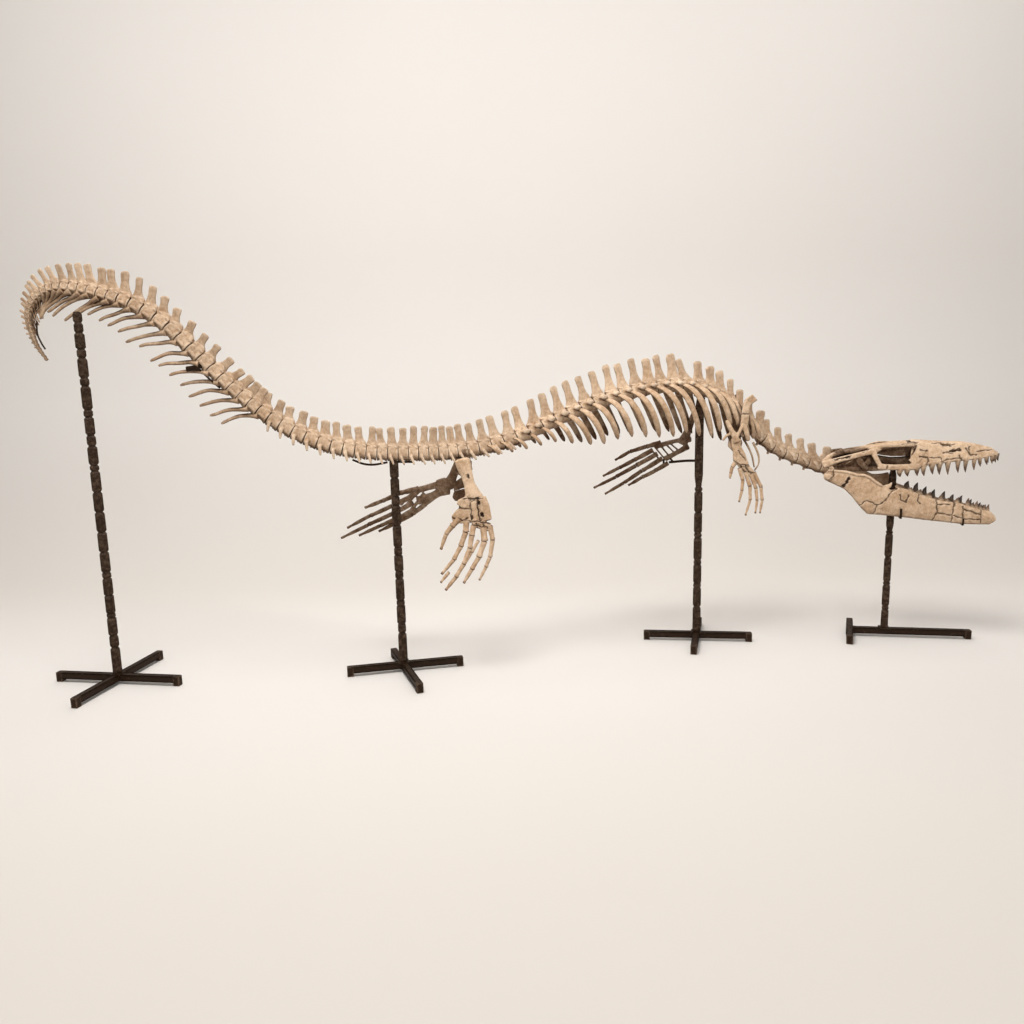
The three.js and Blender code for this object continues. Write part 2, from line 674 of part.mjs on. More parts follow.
function skull() {
  const pieces = [skullBody()];
  const braincase = new THREE.BoxGeometry(130, 62, 84);
  braincase.translate(-196, 0, 32);
  pieces.push(toSolid(braincase));
  const palate = new THREE.BoxGeometry(270, 66, 16);
  palate.translate(-40, 0, 9);
  pieces.push(toSolid(palate));
  for (const side of [1, -1]) {
    pieces.push(
      skullBar(side, [[80, 64, 20], [0, 78, 20], [-66, 92, 22]], [30, 26, 28], 20),
      skullBar(side, [[-64, 92, 18], [-82, 92, 50], [-98, 84, 90]], [20, 22, 26], 18),
      skullBar(side, [
        [-70, 70, 100], [-100, 86, 84], [-190, 100, 62], [-304, 104, 34],
      ], [24, 24, 22, 34], 18),
      skullBar(side, [[-244, 20, 40], [-292, 104, 34]], [44, 34], 26),
      skullBar(side, [[-290, 100, 34], [-262, 98, 22], [-258, 98, 14]], [26, 24, 22], 22),
      skullBar(side, [[-250, 14, 0], [-120, 26, 6]], [22, 20], 22),
      ...upperTeeth(side),
    );
  }
  const body = Manifold.union(pieces);
  const slots = [];
  for (const side of [1, -1]) {
    const nostril = new THREE.BoxGeometry(78, 18, 11);
    nostril.rotateY(THREE.MathUtils.degToRad(-8));
    nostril.translate(252, -side * 40, 96);
    slots.push(toSolid(nostril));
  }
  return largest(body.subtract(Manifold.union(slots)));
}

// How far the middle of each half of the lower jaw lies from the middle of the skull.
function jawOut(x) {
  const outer = Math.max(along(SKULL.halfWidth, x) + JAW.outside, JAW.thickness + JAW.gap);
  return outer - JAW.thickness / 2;
}

// Half of the lower jaw: a deep rear part with a coronoid hook, and the toothed bar in front.
function lowerJaw(side) {
  const xs = [-300, -284, -214, -158, -111, -72, -10, 22, 108, 184, 276, 405, 428];
  const stations = xs.map((x) => {
    const top = along(JAW.top, x);
    const low = along(JAW.bottom, x);
    const half = JAW.thickness / 2;
    const out = jawOut(x);
    const middle = (top + low) / 2;
    const tall = (top - low) / 2;
    return {
      at: vec(x, -side * out, middle),
      across: LEFT,
      up: UP,
      outline: [[0, tall], [0.8 * half, 0.72 * tall], [half, -0.2 * tall], [0.6 * half, -0.86 * tall],
        [0, -tall], [-0.6 * half, -0.86 * tall], [-half, -0.2 * tall], [-0.8 * half, 0.72 * tall]],
    };
  });
  const pieces = [sweep(stations)];
  const hook = JAW.hook.map(([x, z]) => [x, jawOut(x), z]);
  pieces.push(skullBar(side, hook, [34, 20, 4], 14));
  for (let i = 0; i < LOWER_TEETH; i += 1) {
    const share = i / (LOWER_TEETH - 1);
    const x = 26 + (398 - 26) * share;
    const length = 40 - 14 * share;
    pieces.push(tooth(x, -side * jawOut(x), along(JAW.top, x), length, 19 - 5 * share, false));
  }
  return fuse(pieces);
}

function placeSkullPart(solid) {
  return solid.rotate([0, 0, SKULL.yaw]).translate(SKULL.place);
}

// Occipital condyle: runs out of the skull along the line of the neck and faces the first vertebra.
function condyle() {
  const face = spineAt(FIRST_VERTEBRA - GAP / 2);
  const inside = face.at.clone().addScaledVector(face.tailward, -46);
  return rod([inside, face.at], [[24, 24], [20, 20]], LEFT, 6);
}

// Stands
function standBase(stand) {
  const pieces = [];
  const [px, py] = stand.post;
  const addBar = (x, y, turn, ends) => {
    const angle = THREE.MathUtils.degToRad(turn);
    const [near, far] = ends;
    const middle = (near + far) / 2;
    const z = BAR_LIFT + BAR / 2;
    const onBar = (run, height) => [x + run * Math.cos(angle), y + run * Math.sin(angle), height];
    pieces.push(block([far - near, BAR, BAR], onBar(middle, z), turn));
    for (const end of [near + BAR / 2, far - BAR / 2]) {
      pieces.push(block([FOOT.width, FOOT.width, FOOT.height], onBar(end, FOOT.height / 2), turn));
    }
    return angle;
  };
  let angle = 0;
  for (const bar of stand.bars) angle = addBar(px, py, bar.turn, bar.ends);
  if (stand.cross) {
    const { along: run, turn, ends } = stand.cross;
    const x = px + (run + BAR / 2) * Math.cos(angle);
    const y = py + (run + BAR / 2) * Math.sin(angle);
    addBar(x, y, turn, ends);
  }
  return fuse(pieces);
}

// Post of square tube with pinched necks spaced evenly up its length.
function standPost(stand, top) {
  const [x, y] = stand.post;
  const bottom = BAR_LIFT + BAR + GAP;
  const pinch = 9;
  const levels = [[bottom, 1]];
  for (let i = 1; i <= stand.beads; i += 1) {
    const z = bottom + (top - bottom) * (i / (stand.beads + 1));
    levels.push([z - pinch, 1], [z, 0.72], [z + pinch, 1]);
  }
  levels.push([top, 1]);
  const half = TUBE / 2;
  const stations = levels.map(([z, k]) => ({
    at: vec(x, y, z), across: LEFT, up: vec(-1, 0, 0),
    outline: [[-half * k, half * k], [half * k, half * k], [half * k, -half * k], [-half * k, -half * k]],
  }));
  return sweep(stations);
}

// Saddle on top of a post: a strap that follows the underside of the vertebrae that it carries.
function saddle(stand) {
  const [x] = stand.post;
  const [from, to] = stand.saddle;
  const points = [];
  for (let i = 0; i <= SADDLE.steps; i += 1) {
    const distance = from + ((to - from) * i) / SADDLE.steps;
    const { at, up } = spineAt(distance);
    const drop = 0.82 * along(CENTRUM_RADIUS, distance) + SADDLE.under + SADDLE.thickness / 2;
    points.push(at.clone().addScaledVector(up, -drop));
  }
  const corner = Math.SQRT1_2;
  const size = [SADDLE.width / 2 / corner, SADDLE.thickness / 2 / corner];
  const next = Math.max(1, points.findIndex((point) => point.x < x));
  const share = (points[next - 1].x - x) / (points[next - 1].x - points[next].x);
  const height = points[next - 1].z + share * (points[next].z - points[next - 1].z);
  return { solid: rod(points, points.map(() => size), LEFT, 4, 0.5), height };
}

// Bar in front of post 4 that carries both halves of the lower jaw, with an upright at each end.
function jawBar() {
  const x = JAW_BAR.ahead;
  const top = along(JAW.bottom, x) - JAW_BAR.width * 0.06 - GAP;
  const outer = along(SKULL.halfWidth, x - JAW_BAR.width) + JAW.outside + GAP;
  const reach = outer + JAW_BAR.thickness;
  const cross = [JAW_BAR.width, 2 * reach, JAW_BAR.thickness];
  const pieces = [block(cross, [x, 0, top - JAW_BAR.thickness / 2])];
  for (const side of [1, -1]) {
    const rise = JAW_BAR.rise + JAW_BAR.thickness;
    const place = [x, side * (outer + JAW_BAR.thickness / 2), top - JAW_BAR.thickness + rise / 2];
    pieces.push(block([JAW_BAR.width, JAW_BAR.thickness, rise], place));
  }
  return fuse(pieces);
}

// Rod from post 3 out to the wrist of the left fore flipper, which it carries from below.
function flipperRod() {
  const [x, y] = STANDS[2].post;
  const start = vec(x, y + TUBE / 2 + GAP, FLIPPER_ROD.height);
  const end = vec(...FLIPPER_ROD.end);
  const half = ROD / 2;
  const points = [start, vec(x, y + 50, FLIPPER_ROD.height), end];
  return rod(points, points.map(() => [half, half]), UP, 6);
}

const group = new THREE.Group();

function addNode(name, solid, finish) {
  const mesh = new THREE.Mesh(toGeometry(solid), new THREE.MeshStandardMaterial(finish));
  mesh.name = name;
  group.add(mesh);
}

const bones = {
  neck: spineLength(FIRST_VERTEBRA, NECK_END),
  torso_right: torsoHalf(1),
  torso_left: torsoHalf(-1),
  tail_base: spineLength(TORSO_END, TAIL_BASE_END),
  tail_middle: spineLength(TAIL_BASE_END, TAIL_MIDDLE_END),
  tail_rear: spineLength(TAIL_MIDDLE_END, TAIL_REAR_END),
  tail_bend: spineLength(TAIL_REAR_END, TAIL_BEND_END),
  tail_hook: spineLength(TAIL_BEND_END, TAIL_HOOK_END),
  tail_tip: spineLength(TAIL_HOOK_END, SPINE_LENGTH),
};
const spineOrder = Object.keys(bones);
spineOrder.slice(1).forEach((name, i) => {
  const before = spineOrder.slice(Math.max(0, i - 1), i + 1);
  for (const other of before) {
    const mirrored = name === 'torso_left' && other === 'torso_right';
    if (!mirrored) bones[name] = clearOf(bones[name], bones[other]);
  }
});
const torso = Manifold.union([bones.torso_right, bones.torso_left]);

bones.skull = clearOf(fuse([placeSkullPart(skull()), condyle()]), bones.neck);
bones.lower_jaw_right = clearOf(placeSkullPart(lowerJaw(1)), bones.skull);
bones.lower_jaw_left = clearOf(placeSkullPart(lowerJaw(-1)), bones.skull);
for (const [label, side] of [['right', 1], ['left', -1]]) {
  bones[`shoulder_${label}`] = clearOf(shoulder(side), torso);
  bones[`fore_flipper_${label}`] = foreFlipper(side);
  bones[`pelvis_${label}`] = pelvis(side);
  bones[`hind_flipper_${label}`] = clearOf(hindFlipper(side), bones[`pelvis_${label}`]);
}
for (const [name, solid] of Object.entries(bones)) addNode(name, solid, BONE);

STANDS.forEach((stand, i) => {
  const label = `stand_${i + 1}`;
  addNode(`${label}_base`, standBase(stand), STEEL);
  if (stand.saddle) {
    const { solid, height } = saddle(stand);
    addNode(`${label}_post`, fuse([standPost(stand, height), solid]), STEEL);
  } else if (stand.top) {
    const crossing = bones.tail_bend.add(bones.tail_hook);
    addNode(`${label}_post`, clearOf(standPost(stand, stand.top), crossing), STEEL);
  } else {
    addNode(`${label}_post`, standPost(stand, SKULL.place[2] + PALATE_LOW - GAP), STEEL);
  }
});
addNode('stand_4_jaw_bar', placeSkullPart(jawBar()), STEEL);
addNode('stand_3_rod', flipperRod(), STEEL);
group.position.x = -MODEL_MIDDLE;

export default group;
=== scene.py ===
"""Mounted mosasaur skeleton on four steel stands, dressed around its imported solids.

Sizes and places are in metres, in the frame of the solids: +X runs toward the snout, +Y to the
animal's left and +Z up, with the floor at zero.
"""

import json
import logging
import math
from collections.abc import Callable, Sequence
from dataclasses import dataclass, field
from enum import Enum
from itertools import pairwise
from random import Random

import bmesh
import bpy
import numpy as np
from mathutils import Matrix, Vector

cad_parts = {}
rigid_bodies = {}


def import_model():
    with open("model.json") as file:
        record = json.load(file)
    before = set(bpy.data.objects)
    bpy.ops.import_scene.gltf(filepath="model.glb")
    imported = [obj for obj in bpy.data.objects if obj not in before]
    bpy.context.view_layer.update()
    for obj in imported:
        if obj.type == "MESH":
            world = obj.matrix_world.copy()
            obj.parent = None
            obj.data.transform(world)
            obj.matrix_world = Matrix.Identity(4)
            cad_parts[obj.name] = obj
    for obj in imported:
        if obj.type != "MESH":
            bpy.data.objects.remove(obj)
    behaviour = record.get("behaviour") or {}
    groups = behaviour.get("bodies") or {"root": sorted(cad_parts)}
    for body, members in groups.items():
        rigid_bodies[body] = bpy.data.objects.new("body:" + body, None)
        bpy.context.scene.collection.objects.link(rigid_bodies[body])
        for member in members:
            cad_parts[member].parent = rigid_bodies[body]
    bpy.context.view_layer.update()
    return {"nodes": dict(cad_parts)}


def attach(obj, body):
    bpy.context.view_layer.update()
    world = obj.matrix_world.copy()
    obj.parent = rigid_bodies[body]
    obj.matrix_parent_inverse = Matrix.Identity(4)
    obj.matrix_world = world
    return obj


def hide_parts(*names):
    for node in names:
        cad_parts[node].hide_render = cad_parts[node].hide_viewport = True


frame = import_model()

LOG = logging.getLogger("mosasaur")
ROOT = "root"
FORWARD, LEFT, UP = Vector((1, 0, 0)), Vector((0, 1, 0)), Vector((0, 0, 1))

Piece, Mesh, Shapes = bpy.types.Object, bpy.types.Mesh, bpy.types.Collection
Material, Node = bpy.types.Material, bpy.types.Node
NodeTree, Socket = bpy.types.NodeTree, bpy.types.NodeSocket
Place = Vector | np.ndarray
Pair, Triple = tuple[float, float], tuple[float, float, float]
Line = tuple[Pair, ...]

# Middle of the vertebrae, from the back of the skull to the tip of the tail.
SPINE_POINTS = (
    (1.400, 0.297, 0.794), (1.297, 0.291, 0.833), (1.134, 0.274, 0.909), (0.999, 0.254, 1.030),
    (0.885, 0.232, 1.136), (0.732, 0.201, 1.195), (0.545, 0.163, 1.192), (0.338, 0.117, 1.150),
    (0.135, 0.072, 1.076), (-0.064, 0.021, 0.998), (-0.258, -0.028, 0.957), (-0.468, -0.076, 0.952),
    (-0.692, -0.119, 0.969), (-0.873, -0.139, 1.013), (-1.045, -0.152, 1.104), (-1.197, -0.158, 1.230),
    (-1.329, -0.161, 1.369), (-1.461, -0.162, 1.504), (-1.573, -0.162, 1.580), (-1.688, -0.162, 1.623),
    (-1.781, -0.162, 1.648), (-1.875, -0.163, 1.656), (-1.950, -0.164, 1.625), (-1.992, -0.165, 1.556),
    (-1.981, -0.165, 1.454), (-1.941, -0.164, 1.374),
)
FIRST_VERTEBRA = -0.024
TAIL_TIP = 0.012

# Lengths of the spine, as distances from the skull, with the solids that each stands for.
NECK_END = 0.470
LOIN_START = 1.62
SPINE_LENGTHS = {
    "neck": (FIRST_VERTEBRA, NECK_END, ("neck",)),
    "torso": (NECK_END, 1.880, ("torso_right", "torso_left")),
    "tail_base": (1.880, 2.290, ("tail_base",)),
    "tail_middle": (2.290, 2.710, ("tail_middle",)),
    "tail_rear": (2.710, 3.150, ("tail_rear",)),
    "tail_bend": (3.150, 3.560, ("tail_bend",)),
    "tail_hook": (3.560, 3.840, ("tail_hook",)),
    "tail_tip": (3.840, 4.060, ("tail_tip",)),
}
RIBS_END = 1.790
CHEVRON_START = 2.700
CHEVRON_END = 3.900


@dataclass(frozen=True)
class Taper:
    """Size that changes with distance, given at a few distances as (distance, value) pairs."""

    keys: Line

    def at(self, distance: float) -> float:
        """Value at a distance, in a straight line between the keys."""
        places, values = zip(*self.keys)
        return float(np.interp(distance, places, values))


VERTEBRA_LENGTH = Taper((
    (0.0, 0.062), (0.45, 0.066), (0.60, 0.058), (1.10, 0.060), (1.50, 0.065), (1.78, 0.055), (1.88, 0.041),
    (2.25, 0.044), (2.45, 0.055), (2.62, 0.056), (2.75, 0.047), (2.95, 0.053), (3.10, 0.059), (3.33, 0.055),
    (3.45, 0.044), (3.65, 0.033), (3.75, 0.023), (3.85, 0.019), (4.00, 0.017),
))
CENTRUM_RADIUS = Taper((
    (0.0, 0.029), (0.90, 0.031), (1.90, 0.033), (3.40, 0.033), (3.62, 0.027), (3.76, 0.021), (3.85, 0.015),
    (3.95, 0.010), (4.04, 0.006),
))
NEURAL_HEIGHT = Taper((
    (0.0, 0.106), (0.30, 0.108), (0.45, 0.120), (0.70, 0.128), (0.90, 0.148), (1.50, 0.143), (1.75, 0.128),
    (1.90, 0.117), (2.10, 0.117), (2.50, 0.105), (2.70, 0.094), (3.10, 0.094), (3.25, 0.101), (3.31, 0.121),
    (3.43, 0.121), (3.65, 0.106), (3.70, 0.097), (3.76, 0.080), (3.83, 0.053), (3.93, 0.032), (4.04, 0.010),
))
NEURAL_WIDTH = Taper((
    (0.0, 0.037), (1.50, 0.037), (1.82, 0.031), (2.20, 0.030), (2.35, 0.036), (2.70, 0.036), (3.30, 0.035),
    (3.60, 0.029), (3.75, 0.018), (3.85, 0.013), (4.04, 0.006),
))
NEURAL_THICKNESS = Taper(((0.0, 0.014), (3.30, 0.013), (3.70, 0.009), (3.90, 0.006), (4.04, 0.003)))
# Degrees that a neural spine leans toward the head from straight up.
NEURAL_LEAN = Taper((
    (0.0, 0), (0.50, 4), (0.70, -3), (0.80, -12), (1.00, -13), (1.40, -17), (1.85, -10), (2.00, 0), (2.35, 2),
    (2.55, 11), (2.72, 20), (2.80, 32), (2.89, 58), (3.00, 52), (3.10, 38), (3.20, 22), (3.36, 10),
    (3.56, -4), (3.66, -15), (3.72, -30), (3.85, -42), (3.93, -65), (4.04, -100),
))
RIB_REACH = Taper((
    (0.485, 0.080), (0.56, 0.120), (0.62, 0.170), (0.76, 0.190), (0.88, 0.230), (1.00, 0.205), (1.10, 0.205),
    (1.22, 0.160), (1.40, 0.140), (1.47, 0.105), (1.56, 0.058), (1.70, 0.045), (1.87, 0.032),
))
RIB_SWEEP = Taper((
    (0.485, 0.045), (0.62, 0.070), (0.76, 0.095), (0.95, 0.120), (1.10, 0.112), (1.40, 0.098), (1.50, 0.075),
    (1.60, 0.055), (1.87, 0.038),
))
RIB_SPREAD = Taper((
    (0.485, 0.095), (0.62, 0.108), (0.90, 0.124), (1.25, 0.112), (1.45, 0.080), (1.60, 0.048), (1.87, 0.034),
))
CHEVRON_LENGTH = Taper((
    (2.70, 0.155), (2.85, 0.180), (3.00, 0.172), (3.15, 0.160), (3.22, 0.176), (3.40, 0.150), (3.56, 0.180),
    (3.70, 0.140), (3.78, 0.080), (3.90, 0.060),
))
# Degrees that a chevron droops below the horizontal toward the tail.
CHEVRON_DROOP = Taper((
    (2.70, 12), (2.85, 3), (2.93, -2), (3.00, 4), (3.25, 9), (3.42, 14), (3.50, 24), (3.65, 30), (3.72, 60),
    (3.80, 95), (3.90, 110),
))


def glide(a: Place, b: Place, c: Place, d: Place, share: float) -> Place:
    """Place on a smooth curve between two of its four places.

    Args:
        a: Place before the first.
        b: First place.
        c: Second place.
        d: Place after the second.
        share: How far from the first to the second.

    Returns:
        The place.
    """
    early = 2 * b + (c - a) * share + (2 * a - 5 * b + 4 * c - d) * share**2
    return 0.5 * (early + (3 * b - a - 3 * c + d) * share**3)


class Side(Enum):
    """Side of the animal, with the sign of its place against +Y."""

    RIGHT = -1
    LEFT = 1


@dataclass(frozen=True)
class SpineFrame:
    """Place on the spine, with the directions toward the tail, the right side and the back."""

    at: Vector
    tailward: Vector
    right: Vector
    up: Vector

    def turn(self) -> Matrix:
        """Rotation that carries x, y and z onto tailward, right and up."""
        return Matrix((self.tailward, self.right, self.up)).transposed()


class SpinePath:
    """Smooth path through the middle of the vertebrae, measured by its own length."""

    STEPS = 100

    def __init__(self, points: Sequence[Triple]) -> None:
        """Samples the curve.

        Args:
            points: Places that the curve passes through, head first.
        """
        places = [np.array(p) for p in points]
        places = [2 * places[0] - places[1], *places, 2 * places[-1] - places[-2]]
        samples = []
        for a, b, c, d in zip(places, places[1:], places[2:], places[3:]):
            for t in np.linspace(0, 1, self.STEPS, endpoint=False):
                samples.append(glide(a, b, c, d, t))
        samples.append(places[-2])
        self.samples = np.array(samples)
        runs = np.linalg.norm(np.diff(self.samples, axis=0), axis=1)
        self.distances = np.concatenate([[0.0], np.cumsum(runs)])
        self.length = float(self.distances[-1])

    def _at(self, distance: float) -> Vector:
        """Place at a distance along the path."""
        return Vector([np.interp(distance, self.distances, self.samples[:, k]) for k in range(3)])

    def frame(self, distance: float) -> SpineFrame:
        """Place and directions at a distance.

        Args:
            distance: Distance from the skull. Below zero runs straight on toward the head.

        Returns:
            The frame there.
        """
        step = 0.002
        inside = min(max(distance, step), self.length - step)
        tailward = (self._at(inside + step) - self._at(inside - step)).normalized()
        right = (-LEFT + tailward * LEFT.dot(tailward)).normalized()
        at = self._at(min(max(distance, 0.0), self.length)) + tailward * min(distance, 0.0)
        return SpineFrame(at, tailward, right, tailward.cross(right))


@dataclass(frozen=True)
class Vertebra:
    """One vertebra's share of the spine."""

    number: int
    start: float
    length: float

    @property
    def middle(self) -> float:
        """Distance of its middle from the skull."""
        return self.start + self.length / 2


def lay_out_vertebrae(spine: SpinePath) -> list[Vertebra]:
    """Divides the spine into vertebrae, one after another.

    Args:
        spine: The path that they follow.

    Returns:
        The vertebrae from the skull to the tail's tip.
    """
    row: list[Vertebra] = []
    start = FIRST_VERTEBRA
    while start < spine.length - TAIL_TIP:
        length = VERTEBRA_LENGTH.at(start)
        row.append(Vertebra(len(row), start, length))
        start += length
    return row


class NodeWriter:
    """Adds nodes to a tree, each with its settings and links in one call."""

    def __init__(self, tree: NodeTree) -> None:
        """Keeps the tree that is written."""
        self.tree = tree

    def add(self, kind: str, links: dict | None = None, **settings: object) -> Node:
        """Adds a node.

        Args:
            kind: The node's type name.
            links: Values or output sockets for its inputs, by input name or number.
            settings: Properties of the node.

        Returns:
            The node.
        """
        node = self.tree.nodes.new(kind)
        for name, value in settings.items():
            setattr(node, name, value)
        for key, value in (links or {}).items():
            socket = node.inputs[key]
            if isinstance(value, Socket):
                self.tree.links.new(value, socket)
            else:
                socket.default_value = value
        return node

    def sum(self, operation: str, first: object, second: object = 0.0, clamp: bool = False) -> Socket:
        """Adds a Math node.

        Args:
            operation: What it does with its values.
            first: First value or socket.
            second: Second value or socket.
            clamp: Whether the result stays from 0 to 1.

        Returns:
            The result.
        """
        values = {0: first, 1: second}
        return self.add("ShaderNodeMath", values, operation=operation, use_clamp=clamp).outputs[0]

    def ramp(
        self, value: Socket, low: float, high: float, start: float = 0.0, end: float = 1.0, ease: bool = False
    ) -> Socket:
        """Adds a Map Range node.

        Args:
            value: The value that it maps.
            low: Value that gives the start.
            high: Value that gives the end.
            start: Result at the low value.
            end: Result at the high value.
            ease: Whether the step is smooth.

        Returns:
            The result.
        """
        values = {0: value, 1: low, 2: high, 3: start, 4: end}
        step = "SMOOTHSTEP" if ease else "LINEAR"
        return self.add("ShaderNodeMapRange", values, interpolation_type=step).outputs[0]

    def noise(self, spot: Socket, scale: object, detail: float, roughness: float = 0.5) -> Socket:
        """Adds a Noise Texture node.

        Args:
            spot: Coordinates.
            scale: Its scale.
            detail: Its finer layers.
            roughness: Strength of the finer layers.

        Returns:
            The noise, from 0 to 1.
        """
        values = {"Vector": spot, "Scale": scale, "Detail": detail, "Roughness": roughness}
        return self.add("ShaderNodeTexNoise", values).outputs[0]

    def attribute(self, name: str) -> Socket:
        """Value of a named attribute of the surface."""
        return self.add("ShaderNodeAttribute", attribute_name=name).outputs["Fac"]

    def mix(self, share: object, under: object, over: object) -> Socket:
        """Mix of two colours by a share of the second."""
        return self.add("ShaderNodeMix", {0: share, 6: under, 7: over}, data_type="RGBA").outputs[2]

    def socket(self, name: str, kind: str, default: object = None, output: bool = False) -> str:
        """Adds a named socket to the tree's interface.

        Args:
            name: The socket's name.
            kind: The socket's type, without its first words.
            default: Value that the socket starts with.
            output: Whether it is an output.

        Returns:
            The socket's identifier.
        """
        in_out = "OUTPUT" if output else "INPUT"
        socket = self.tree.interface.new_socket(name=name, in_out=in_out, socket_type="NodeSocket" + kind)
        if default is not None:
            socket.default_value = default
        return socket.identifier


class ShapeTree:
    """Geometry Nodes tree that is run on a plain mesh, with its named inputs."""

    def __init__(self, name: str, inputs: dict[str, tuple[str, object]]) -> None:
        """Starts a tree with geometry in and out.

        Args:
            name: The tree's name.
            inputs: Type and first value of each named input.
        """
        self.tree = bpy.data.node_groups.new(name, "GeometryNodeTree")
        self.write = NodeWriter(self.tree)
        self.write.socket("Geometry", "Geometry", output=True)
        self.write.socket("Geometry", "Geometry")
        self.inputs = {key: self.write.socket(key, *value) for key, value in inputs.items()}

    def attribute(self, name: str, data_type: str) -> Socket:
        """Output that reads a named attribute."""
        node = self.write.add("GeometryNodeInputNamedAttribute", {"Name": name}, data_type=data_type)
        return node.outputs["Attribute"]

    def finish(self, geometry: Socket, material: Socket) -> None:
        """Ends the tree with instances made real, smooth shading and the finish.

        Args:
            geometry: The geometry so far.
            material: The finish to set on it.
        """
        real = self.write.add("GeometryNodeRealizeInstances", {"Geometry": geometry})
        smooth = self.write.add("GeometryNodeSetShadeSmooth", {"Geometry": real.outputs[0]})
        dressed = self.write.add("GeometryNodeSetMaterial",
                                 {"Geometry": smooth.outputs[0], "Material": material})
        self.write.add("NodeGroupOutput", {"Geometry": dressed.outputs[0]})

    def run(self, mesh: Mesh, values: dict[str, object]) -> Piece:
        """Runs the tree on a mesh.

        Args:
            mesh: The plain mesh, with the piece's name.
            values: Values for the named inputs.

        Returns:
            The piece, with a plain mesh and no modifier.
        """
        piece = new_object(mesh.name, mesh)
        modifier = piece.modifiers.new(self.tree.name, "NODES")
        modifier.node_group = self.tree
        for name, value in values.items():
            modifier[self.inputs[name]] = value
        return apply_modifiers(piece)


def apply_modifiers(piece: Piece) -> Piece:
    """Turns a piece and its modifiers into a plain mesh.

    Args:
        piece: The object.

    Returns:
        The same object.
    """
    bpy.context.view_layer.update()
    graph = bpy.context.evaluated_depsgraph_get()
    mesh = bpy.data.meshes.new_from_object(piece.evaluated_get(graph), depsgraph=graph)
    old = piece.data
    piece.modifiers.clear()
    piece.data = mesh
    bpy.data.meshes.remove(old)
    mesh.name = piece.name
    return piece


class StationTree(ShapeTree):
    """Sets one of several shapes on each station of a row, turned and sized as the station says."""

    def __init__(self) -> None:
        """Builds the tree."""
        super().__init__("set_on_stations", {
            "Shapes": ("Collection", None), "Turn Jitter": ("Float", 0.0), "Size Jitter": ("Float", 0.0),
            "Seed": ("Int", 1), "Finish": ("Material", None),
        })
        add, math_node = self.write.add, self.write.sum
        given = add("NodeGroupInput").outputs
        picked = {"Collection": given["Shapes"], "Separate Children": True, "Reset Children": True}
        shapes = add("GeometryNodeCollectionInfo", picked)
        jitter = []
        for middle, key in ((0.0, "Turn Jitter"), (1.0, "Size Jitter")):
            ends = [math_node(operation, middle, given[key]) for operation in ("SUBTRACT", "ADD")]
            values = {0: ends[0], 1: ends[1], "Seed": given["Seed"]}
            jitter.append(add("FunctionNodeRandomValue", values, data_type="FLOAT_VECTOR").outputs[0])
        turn = add("FunctionNodeEulerToRotation", {0: self.attribute("turn", "FLOAT_VECTOR")})
        swung = add("FunctionNodeEulerToRotation", {0: jitter[0]})
        both = {"Rotation": turn.outputs[0], "Rotate By": swung.outputs[0]}
        turned = add("FunctionNodeRotateRotation", both, rotation_space="LOCAL")
        sizes = {0: self.attribute("size", "FLOAT_VECTOR"), 1: jitter[1]}
        size = add("ShaderNodeVectorMath", sizes, operation="MULTIPLY")
        placed = add("GeometryNodeInstanceOnPoints", {
            "Points": given["Geometry"], "Instance": shapes.outputs[0], "Pick Instance": True,
            "Instance Index": self.attribute("kind", "INT"), "Rotation": turned.outputs[0],
            "Scale": size.outputs[0],
        })
        self.finish(placed.outputs[0], given["Finish"])


class SweepTree(ShapeTree):
    """Draws a bone along each open path, with the girth that its points state and small lumps."""

    def __init__(self) -> None:
        """Builds the tree."""
        super().__init__("sweep_bones", {
            "Sides": ("Int", 10), "Flatness": ("Float", 0.6), "Lump Size": ("Float", 0.0),
            "Lump Scale": ("Float", 30.0), "Seed": ("Int", 1), "Finish": ("Material", None),
        })
        add = self.write.add
        given = add("NodeGroupInput").outputs
        lines = add("GeometryNodeMeshToCurve", {"Mesh": given["Geometry"]})
        facing = {"Curve": lines.outputs[0], "Normal": self.attribute("facing", "FLOAT_VECTOR")}
        faced = add("GeometryNodeSetCurveNormal", facing, mode="FREE")
        ring = add("GeometryNodeCurvePrimitiveCircle", {"Resolution": given["Sides"], "Radius": 1.0})
        squash = add("ShaderNodeCombineXYZ", {0: 1.0, 1: given["Flatness"], 2: 1.0})
        oval_ring = add("GeometryNodeTransform", {"Geometry": ring.outputs[0], "Scale": squash.outputs[0]})
        swept = add("GeometryNodeCurveToMesh", {
            "Curve": faced.outputs[0], "Profile Curve": oval_ring.outputs[0], "Fill Caps": True,
            "Scale": self.attribute("girth", "FLOAT"),
        })
        spot = add("GeometryNodeInputPosition").outputs[0]
        cloud = {"Vector": spot, "W": given["Seed"], "Scale": given["Lump Scale"], "Detail": 3.0}
        lumps = add("ShaderNodeTexNoise", cloud, noise_dimensions="4D").outputs[0]
        height = self.write.sum("MULTIPLY", self.write.sum("SUBTRACT", lumps, 0.5), given["Lump Size"])
        normal = add("GeometryNodeInputNormal")
        push = add("ShaderNodeVectorMath", {0: normal.outputs[0], "Scale": height}, operation="SCALE")
        rough = add("GeometryNodeSetPosition", {"Geometry": swept.outputs[0], "Offset": push.outputs[0]})
        self.finish(rough.outputs[0], given["Finish"])


@dataclass(frozen=True)
class Station:
    """Place for one shape of a row."""

    place: Vector
    turn: Matrix
    size: Vector
    kind: int = 0
    # Darkening: varied tone, and painted shade on the far side's bones.
    tint: float = 0.0


def new_object(name: str, mesh: Mesh) -> Piece:
    """Links a mesh into the scene as an object at the origin.

    Args:
        name: The object's name.
        mesh: Its mesh.

    Returns:
        The object.
    """
    piece = bpy.data.objects.new(name, mesh)
    bpy.context.scene.collection.objects.link(piece)
    return piece


